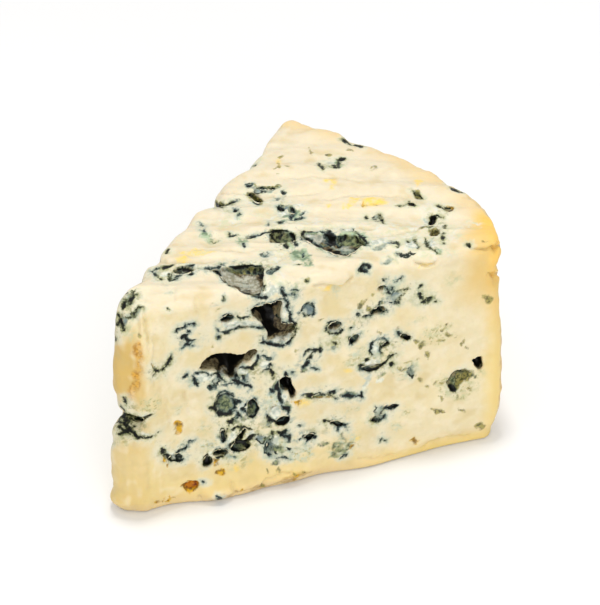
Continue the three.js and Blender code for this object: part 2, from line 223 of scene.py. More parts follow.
# Each lump or dent: how far right and up on its face, its reach each way, and its height.
LUMPS = {
    nose: [
        (4, 50, 9, 14, 2.2),
        (3, 18, 9, 13, 4.4),
        (2, 32.4, 10, 2.2, -4.4),
        (3, 44, 9, 7, 1.3),
        (3, 28, 9, 2.6, 0.9),
        (4, 0, 10, 8, 1.4),
        (-1, 0, 4, 4, 5.0),
        (3, 71, 9, 7, -2.2),
    ],
    front: [
        (8, 54, 2.2, 16, 0.9),
        (12.5, 58, 2.6, 12, -0.5),
        (62, 68.5, 7.5, 3.2, 1.7),
        (92, 69, 5, 2.6, 1.2),
        (30, 69, 16, 4, 0.8),
        (9, 1, 8, 6, -2.0),
        (14, 0, 7, 3, -1.6),
        (57, 0, 7, 3, -1.8),
        (72, 0, 8, 3, 1.2),
        (99, 0, 14, 3.4, -1.8),
        (26, 3, 3.4, 3, 1.4),
        (31, 6, 2, 4, -0.7),
        (36.5, 2.5, 4, 3, 1.0),
        (29, 2, 10, 6, 2.6),
        (49, 3.5, 9, 4, 1.8),
        (106, 2, 16, 6, -1.4),
        (113, 67.5, 5, 2.4, -2.6),
        (113, 58, 5, 2.4, -2.6),
    ],
    top: [
        (50, 73.6, 24, 7, 0.9),
        (80, 62.6, 14, 6, 0.8),
        (76, 48.6, 18, 4, -0.7),
        (54, 50.6, 16, 4, -0.6),
        (58, 23.6, 12, 5, 0.9),
        (17, 11.6, 11, 6, 0.8),
    ],
    back: [
        (2, 70, 7, 9, 2.6),
        (13, 71, 5, 10, 1.5),
        (111, 0, 10, 8, 4.0),
        (111, 18, 9, 13, 1.6),
        (31, 71, 4, 12, -1.8),
        (44, 71, 5.5, 12, 2.0),
        (51.4, 71, 2.6, 7, -1.8),
        (60.5, 71, 4, 8, 1.2),
        (69, 71, 7, 12, 1.2),
        (77.5, 71, 4.5, 8, 1.7),
        (86, 71, 5, 9, -1.0),
        (90.4, 71, 2.4, 6, 1.3),
        (95.5, 71, 2.6, 5, -1.2),
        (104, 71, 3, 6, 0.4),
        (60, 32, 20, 14, 1.2),
    ],
}
# The rind's, by the turn round the wheel in degrees instead of how far right.
RIND_LUMPS = [
    (12.8, 69, 3.5, 8, -2.2),
    (6.5, 68, 7, 9, -1.1),
    (-4.5, 69, 4, 8, 1.2),
    (20, 68.5, 6, 9, 0.8),
    (2, 62.5, 13, 16, 1.2),
    (-14, 64.5, 9, 14, 2.3),
    (-25, 62, 9, 14, -1.8),
    (-24, 26, 8, 16, 1.4),
    (-24, 72.5, 8, 2.4, 0.9),
    (-24, 69.4, 8, 1.6, -1.9),
    (-24, 65.4, 8, 2.4, 0.9),
    (-24, 60.2, 8, 2, -1.7),
    (-24, 0, 12, 5, -1.5),
    (-24, 12, 8, 8, 0.8),
    (-8, 30.5, 16, 15, 1.0),
    (15, 32.5, 14, 12, -0.9),
]


def slow_wave(p, length, seed):
    k = 2 * math.pi / length
    x, y, z = p.T
    return (
        np.sin(k * (x + 0.6 * y) + seed) * 0.4
        + np.sin(k * 1.3 * (y - 0.5 * z) + 2.1 * seed) * 0.35
        + np.sin(k * 1.7 * (z + 0.4 * x) + 3.7 * seed) * 0.25
    )


def relief(points, normals):
    height = sum(high * slow_wave(points, length, seed) for high, length, seed in SWELLINGS)
    for face, lumps in LUMPS.items():
        facing = np.maximum(normals @ face.out, 0)
        right, up, _ = face.flat(points)
        for at_right, at_up, wide, tall, high in lumps:
            height += high * facing * np.exp(
                -(((right - at_right) / wide) ** 2) - ((up - at_up) / tall) ** 2
            )
    turn = np.arctan2(points[:, 1], points[:, 0])
    outward = np.stack((np.cos(turn), np.sin(turn), 0 * turn), 1)
    facing = np.maximum((normals * outward).sum(1), 0)
    for at_turn, at_up, wide, tall, high in RIND_LUMPS:
        right = RADIUS * (turn - math.radians(at_turn)) / wide
        height += high * facing * np.exp(-(right**2) - ((points[:, 2] - at_up) / tall) ** 2)
    across, along = points @ top.up, points @ top.right
    ridges = np.sin(across * RIDGE_PACE + RIDGE_BEND * np.sin(along * BEND_PACE))
    return height + RIDGE_HEIGHT * np.maximum(normals[:, 2], 0) * ridges


def meeting_point(a, b):
    """Where the lines of two upright faces meet, once both are moved in by the rounding."""
    start, end = a.place(0, 0, -ROUNDING), b.place(0, 0, -ROUNDING)
    cross = a.right[0] * b.right[1] - a.right[1] * b.right[0]
    gap = end - start
    return start + a.right * (gap[0] * b.right[1] - gap[1] * b.right[0]) / cross


def rind_meeting_point(face, sign):
    start = face.place(0, 0, -ROUNDING)
    along = start @ face.right
    reach = math.sqrt((RADIUS - ROUNDING) ** 2 - (start @ start - along**2))
    return start + face.right * (sign * reach - along)


def grid_steps(coordinate, count):
    """The place along the core, 0 to 1, and the turn round an edge, -1 to 1, of each grid step."""
    step = np.round((coordinate + 0.5) * count)
    place = np.clip(step, STEPS_ROUND, count - STEPS_ROUND)
    turn = np.tan((step - place) / STEPS_ROUND * (math.pi / 4))
    return (place - STEPS_ROUND) / (count - 2 * STEPS_ROUND), turn


def mix(a, b, amount):
    return a + (b - a) * amount


body = bmesh.new()
bmesh.ops.create_cube(body, size=1)
for axis, count in enumerate((STEPS_ALONG, STEPS_ACROSS, STEPS_UP)):
    edges = [e for e in body.edges if abs(e.verts[0].co[axis] - e.verts[1].co[axis]) > 0.5]
    bmesh.ops.subdivide_edges(body, edges=edges, cuts=count - 1, use_grid_fill=True)
grid = np.array([v.co for v in body.verts])
x_place, x_turn = grid_steps(grid[:, 0], STEPS_ALONG)
y_place, y_turn = grid_steps(grid[:, 1], STEPS_ACROSS)
z_place, z_turn = grid_steps(grid[:, 2], STEPS_UP)

core_front, core_back = meeting_point(front, nose), meeting_point(back, nose)
far_front, far_back = rind_meeting_point(front, 1), rind_meeting_point(back, -1)
x_column, y_column = x_place[:, None], y_place[:, None]
points = mix(mix(core_front, far_front, x_column), mix(core_back, far_back, x_column), y_column)
chord = mix(far_front, far_back, y_column)
bulge = (RADIUS - ROUNDING) / np.linalg.norm(chord, axis=1) - 1
points += chord * (bulge * x_place**3)[:, None]
outward = points / np.linalg.norm(points, axis=1)[:, None]
end_out = np.where(x_turn[:, None] < 0, nose.out, outward) * np.abs(x_turn)[:, None]
side_out = np.where(y_turn[:, None] < 0, front.out, back.out) * np.abs(y_turn)[:, None]
sideways = end_out + side_out
length = np.linalg.norm(sideways, axis=1)
reach = np.maximum(np.abs(x_turn), np.abs(y_turn))
normals = sideways * (reach / np.maximum(length, 1e-9))[:, None]
normals[:, 2] = z_turn
square = np.linalg.norm(normals, axis=1)
normals /= square[:, None]
squareness = np.where(
    z_turn < 0, SQUARENESS_FOOT, np.where(x_turn > 0, SQUARENESS_RIND, SQUARENESS_CUT)
)
points[:, 2] = mix(ROUNDING, HEIGHT - ROUNDING, z_place)
points += normals * (ROUNDING * mix(1, square, squareness))[:, None]
height = relief(points, normals)
# The flat rind that the wedge stands on stays flat: its edge only moves sideways.
normals[:, 2] = np.maximum(normals[:, 2], 0)
points += normals * height[:, None]
for vertex, point in zip(body.verts, points):
    vertex.co = point
bmesh.ops.recalc_face_normals(body, faces=body.faces)
plain_surface = BVHTree.FromBMesh(body)
body_mesh = bpy.data.meshes.new("wedge_body")
body.to_mesh(body_mesh)
body.free()
wedge_body = bpy.data.objects.new("wedge_body", body_mesh)
bpy.context.collection.objects.link(wedge_body)


# ---------------------------------------------------------------- the wedge: its caves
# The caves in which the mould grew, opened by the knife. The great ones have mouths of their own
# outlines and lean into the paste; the others are uneven lenses. All are cut out of the body.
cutters = bpy.data.collections.new("cave_cutters")
bpy.context.scene.collection.children.link(cutters)


def surface_height(face, at_right, at_up):
    return relief(face.place(at_right, at_up)[None], face.out[None])[0]


def placed(face, *spot):
    """The lenses of the front and the top are given as they are seen, the others as they are."""
    return face.aimed(*spot) if face in (front, top) else face.place(*spot)


def keep_cutter(mesh, name):
    data = bpy.data.meshes.new(name)
    mesh.to_mesh(data)
    mesh.free()
    cutters.objects.link(bpy.data.objects.new(name, data))


# The vector noise starts from a seed, which is set so that the wedge comes out the same each time.
noise.seed_set(5)


def roughen(mesh, face, amount, wavelength, seed):
    """Moves a cutter's vertices by noise that hardly changes with depth, which leaves ribbed walls."""
    offset = Vector((seed * 7.3, seed * 3.1, seed * 5.7))
    right, up, depth = face.flat(np.array([vertex.co for vertex in mesh.verts]))
    for vertex, *spot in zip(mesh.verts, right, up, depth * 0.25):
        spot = Vector(spot) / wavelength + offset
        push = noise.noise_vector(spot) + 0.5 * noise.noise_vector(spot * 2.3)
        vertex.co += Vector(face.right) * (amount * push.x) + Vector(face.up) * (amount * push.y)
        vertex.co += Vector(face.out) * (amount * 0.7 * push.z)


def lens_cave(face, at_right, at_up, long, tall, tilt, deep, number):
    mesh = bmesh.new()
    bmesh.ops.create_icosphere(mesh, subdivisions=4 if long > 2.5 else 3, radius=1)
    middle = placed(face, at_right, at_up, surface_height(face, at_right, at_up) - 0.15 * deep)
    turn = Matrix(np.stack((face.right, face.up, face.out), 1).tolist()).to_4x4()
    place = Matrix.Translation(middle) @ turn @ Matrix.Rotation(math.radians(tilt), 4, "Z")
    bmesh.ops.transform(mesh, matrix=place @ Matrix.Diagonal((long, tall, deep, 1)), verts=mesh.verts)
    roughen(mesh, face, 0.3 + 0.12 * min(long, tall), 1.5 + 0.3 * tall, number)
    keep_cutter(mesh, f"lens_{number}")


# How deep each ring of a mouth's cave lies, its size, and how much of the lean it has.
MOUTH_LEVELS = [(0, 1, 0), (0.3, 1.05, 0.2), (0.6, 0.95, 0.6), (0.85, 0.75, 0.9), (1, 0.4, 1)]
# How far a mouth's cutter stands out of the face.
MOUTH_RISE = 2.5


def mouth_cave(face, deep, lean, outline, number):
    """A cave whose mouth is drawn point by point, and which shifts by lean as it goes in."""
    middle = np.mean(outline, axis=0)
    lift = surface_height(face, *middle)
    mesh = bmesh.new()
    rise = face.aimed(*middle, lift) - face.place(*middle) + face.out * MOUTH_RISE
    cap = mesh.faces.new([mesh.verts.new(face.place(*point) + rise) for point in outline])
    was, last_scale = Vector(face.place(*middle) + rise), 1
    for level, scale, leaning in MOUTH_LEVELS:
        grown = bmesh.ops.extrude_face_region(mesh, geom=[cap])["geom"]
        if level:
            bmesh.ops.delete(mesh, geom=[cap], context="FACES_ONLY")
        cap = next(part for part in grown if isinstance(part, bmesh.types.BMFace))
        leant = face.right * lean[0] * leaning + face.up * lean[1] * leaning
        now = Vector(face.aimed(*middle, lift) + leant) - Vector(face.out) * (level * deep)
        for vertex in cap.verts:
            vertex.co = now + (vertex.co - was) * (scale / last_scale)
        was, last_scale = now, scale
    bmesh.ops.triangulate(mesh, faces=mesh.faces)
    bmesh.ops.subdivide_edges(mesh, edges=mesh.edges, cuts=3, use_grid_fill=True)
    bmesh.ops.recalc_face_normals(mesh, faces=mesh.faces)
    roughen(mesh, face, 0.55, 1.9, number + 40)
    keep_cutter(mesh, f"mouth_{number}")


MOUTHS = [
    # front: the left half of the upper cave, its shallower right wall, the wide cave under it, the
    # upright cave, and the green pocket and the brown one near the rind
    (front, 7.5, (0.5, 1.5), [
        (38, 63.6), (39.6, 64.4), (42.2, 64.6), (44.4, 64), (45.4, 61), (45.2, 58), (46.8, 56.6),
        (49.6, 56.8), (50.3, 54), (48.6, 52.2), (45.6, 51.6), (42.6, 52.8), (42.4, 55.6), (41, 58.2),
        (38.8, 60.4), (37.8, 62),
    ]),
    (front, 4, (0, 0.5), [
        (44, 64.2), (46.8, 65.4), (47, 62), (46.6, 59), (47.4, 57.4), (45, 57), (44.4, 60),
    ]),
    (front, 10, (0, 2), [
        (21.8, 46), (23.4, 48), (25, 50), (27.2, 51), (30, 50.6), (33, 49.6), (35.2, 48.9), (37.4, 50),
        (39.4, 49.8), (39.6, 48.4), (37.6, 46.8), (35, 45.8), (33.6, 44.2), (31.6, 42.4), (30.2, 43),
        (28.6, 44.4), (26.4, 45.8), (24, 45.9),
    ]),
    (front, 7, (0.5, 1), [
        (46, 37.6), (47.6, 38.4), (49.6, 37.6), (50, 35), (50.8, 32.6), (50.4, 30.2), (49.4, 30),
        (48.8, 32.6), (46.9, 33.4), (46.4, 35.6),
    ]),
    (front, 2.2, (0, 0.6), [
        (96.6, 25.6), (98.4, 27.6), (100, 28.6), (102.6, 28.2), (103.6, 26.4), (102.6, 24.4),
        (100.8, 23.4), (99.8, 21.4), (98.4, 22.2), (97.2, 24),
    ]),
    (front, 4.5, (0, 0.4), [
        (104.2, 31.7), (106, 32), (108, 31.8), (107.6, 29.6), (108.2, 27.3), (106.4, 27.2),
        (105.2, 29.8),
    ]),
    # top: the two long caves
    (top, 4.2, (1.5, 1.5), [
        (23.4, 21.8), (26.4, 21.4), (28, 23.6), (30.2, 22.8), (32.4, 23.8), (35.8, 24), (38.8, 23.2),
        (39.4, 20.2), (38.8, 16.5), (38.2, 13.2), (37.6, 10.8), (35, 10.8), (31.8, 12.2), (29.8, 14.2),
        (28.4, 16.8), (26.8, 19.2), (24.8, 20.6),
    ]),
    (top, 3.6, (0, 1), [
        (49.8, 40), (51.6, 41.8), (54.6, 41), (57.2, 40.6), (58.8, 39.4), (61, 40.4), (64.4, 40.4),
        (66.4, 37.6), (68.8, 34.4), (66, 33.4), (64, 31.8), (62, 30.2), (59.2, 31), (55.4, 33.8),
        (51.4, 36.8), (49.8, 38.4),
    ]),
]

# How far right and up, half the length and height, the tilt in degrees, and the depth.
LENSES = {
    front: [
        (46, 52.2, 4.4, 1.5, 4, 1.4), (31.7, 44.8, 1.7, 2.6, 8, 5), (60.5, 28.9, 10.5, 0.55, -8, 1.3),
        (31, 62.4, 2.1, 1.2, 8, 4), (35, 59, 6, 1.1, -3, 1.4), (29.8, 33.3, 3.2, 3.8, 0, 1.2),
        (37.7, 30, 1.9, 3.1, 0, 3), (46.7, 23.5, 2, 1.4, 8, 3.2), (44.3, 27.6, 2.2, 2.4, 0, 1.2),
        (34, 17.4, 2.8, 1.6, -6, 2.4), (34.2, 21.6, 2.9, 0.9, 55, 4), (28, 16.6, 2.3, 1.3, -10, 3.6),
        (29, 22.5, 0.7, 2.5, 0, 2), (24, 14.3, 1.4, 2, 0, 3), (14.8, 18, 3, 0.9, -28, 1.8),
        (54.6, 15.6, 1.5, 1.1, 0, 3), (19, 6.9, 2.2, 1.6, 0, 1.6), (15.6, 28.4, 1.1, 2.5, 0, 0.7),
        (54.5, 60.3, 1.8, 1.8, 0, 0.9), (71.3, 70.2, 1.4, 0.9, 20, 1.2), (76, 62.7, 1, 0.8, 0, 2),
        (75, 55.3, 2.5, 1.1, 10, 3.4), (62.3, 52.8, 2.1, 1.7, 10, 2.6), (68.3, 47.3, 1.7, 1.3, 30, 2.6),
        (83.6, 44.4, 1.8, 1, -20, 2.4), (73.6, 36.1, 4, 1, 4, 1.8), (75.3, 17.2, 1.6, 1.2, 14, 1.8),
        (79.8, 20.3, 1.7, 0.7, 8, 1.4), (63.3, 18.2, 2.4, 0.9, -25, 2.2),
        (94.8, 15.3, 2.4, 0.6, -30, 0.6), (47.3, 17.8, 1.4, 1.2, 0, 1), (42.6, 14.4, 1.2, 2.2, -8, 1.4),
        (77.6, 43, 1.1, 0.7, 10, 1.4),
    ],
    top: [
        (44.2, 37, 3.6, 3.3, 0, 2.4), (87.4, 40.4, 1.3, 2.6, -8, 3.2), (87, 46.4, 0.8, 3, -14, 2),
        (36.3, 58.3, 3.2, 1.2, -50, 3), (24.8, 55.6, 2.6, 1.6, 6, 2.6), (68.5, 56, 5.2, 2.4, 8, 0.55),
        (17, 21.6, 3.2, 1.6, 15, 2), (39, 64.8, 4, 1, 0, 1.2), (92, 53, 1.2, 1.3, 0, 2),
        (81, 55.3, 1, 1.4, 0, 2), (83.3, 61, 2.6, 0.9, -62, 1.6), (50, 27.6, 1.6, 1.6, 0, 1.2),
        (30.8, 52, 0.7, 1.2, 0, 1.4), (43.7, 53.6, 0.9, 1.9, -10, 1.2), (46.8, 52.6, 0.8, 1.7, 20, 1.6),
        (72.3, 47.8, 0.6, 1.8, -8, 1.2),
    ],
    nose: [(4.2, 32.6, 4.4, 1.2, -14, 2.4), (2.2, 66, 1.8, 3.6, -10, 1.4)],
}

# The back cut's lenses are drawn at random, and kept where they stand clear of each other.
BACK_LENSES, BACK_SEED, BACK_MARGIN, BACK_CLEARANCE = 11, 7, 9, 4.5


def draws(state):
    """Numbers from 0 to 1 in an order that the first state sets."""
    while True:
        state = (state * 1664525 + 1013904223) % 2**32
        yield state / 2**32


draw = draws(BACK_SEED)
back_length = np.linalg.norm(rind_back - nose_back)
LENSES[back] = []
while len(LENSES[back]) < BACK_LENSES:
    long = mix(1.8, 6.5, next(draw) ** 2.2)
    at_right = mix(BACK_MARGIN, back_length - 1.6 * BACK_MARGIN, next(draw))
    at_up = mix(BACK_MARGIN, HEIGHT - BACK_MARGIN, next(draw))
    tall = long * mix(0.35, 0.75, next(draw))
    tilt = mix(-25, 35, next(draw))
    deep = 1.2 + 0.8 * long * next(draw)
    if all(
        math.hypot(other[0] - at_right, other[1] - at_up) > other[2] + long + BACK_CLEARANCE
        for other in LENSES[back]
    ):
        LENSES[back].append((at_right, at_up, long, tall, tilt, deep))

for number, (face, deep, lean, outline) in enumerate(MOUTHS):
    mouth_cave(face, deep, lean, outline, number)
for number, (face, lens) in enumerate((face, lens) for face in LENSES for lens in LENSES[face]):
    lens_cave(face, *lens, number)

# The size of the grid on which the carved body gets its even skin, in millimetres.
SKIN_GRID = 0.56
carve = wedge_body.modifiers.new("caves", "BOOLEAN")
carve.operation = "DIFFERENCE"
carve.operand_type = "COLLECTION"
carve.collection = cutters
carve.solver = "MANIFOLD"
skin = wedge_body.modifiers.new("skin", "REMESH")
skin.mode = "VOXEL"
skin.voxel_size = SKIN_GRID


def shaped(obj):
    """The mesh that the object's modifiers make."""
    evaluated = obj.evaluated_get(bpy.context.evaluated_depsgraph_get())
    return bpy.data.meshes.new_from_object(evaluated)


def read(mesh, name):
    """The named triple of every vertex, one row for each."""
    values = np.empty(len(mesh.vertices) * 3)
    mesh.vertices.foreach_get(name, values)
    return values.reshape(-1, 3)


fine_mesh = shaped(wedge_body)
for cutter in list(cutters.objects):
    bpy.data.objects.remove(cutter)
bpy.data.collections.remove(cutters)
bpy.data.objects.remove(wedge_body)
wedge = bpy.data.objects.new("blue_cheese_wedge", fine_mesh)
bpy.context.collection.objects.link(wedge)
# The rind and the back cut carry less detail than the front and the top, so they are made coarser.
FINENESS = 0.66
fine_spots, fine_directions = read(fine_mesh, "co"), read(fine_mesh, "normal")
plain_side = (
    (fine_directions @ back.out > 0.6)
    | (np.hypot(fine_spots[:, 0], fine_spots[:, 1]) > RADIUS - 3)
    | (fine_spots[:, 2] < 1)
)
plain_group = wedge.vertex_groups.new(name="plain_sides")
plain_group.add(np.flatnonzero(plain_side).tolist(), 1, "REPLACE")
thin = wedge.modifiers.new("thin", "DECIMATE")
thin.ratio = FINENESS
thin.vertex_group = plain_group.name
wedge_mesh = shaped(wedge)
wedge_mesh.name = "blue_cheese_wedge"
wedge.modifiers.clear()
wedge.vertex_groups.clear()
wedge.data = wedge_mesh


# ---------------------------------------------------------------- the wedge: where the mould is
# The mould grew in threads along the cracks between the curds and in velvet on the walls of the caves.
# Every mark is a thread or a patch on one of the faces; each vertex keeps its distance from the nearest
# one of each kind, in millimetres and negative inside. A few marks are painted shade or a painted
# highlight instead of mould, and are noted where they stand.
spots, directions = read(wedge_mesh, "co"), read(wedge_mesh, "normal")
below = np.array([plain_surface.find_nearest(spot)[3] for spot in spots])


def ripple(points, wavelength, seed):
    """Smooth noise vectors, one for each point, about -0.5 to 0.5 each way."""
    shift = Vector((seed, 2.7 * seed, -1.9 * seed))
    return np.array([noise.noise_vector(Vector(p) + shift) for p in points / wavelength])


wandered = spots + 0.5 * ripple(spots, 4.5, 3) + 0.45 * ripple(spots, 1.6, 8)
strayed = wandered + 0.9 * ripple(spots, 3.4, 5) + 0.5 * ripple(spots, 1.5, 6)

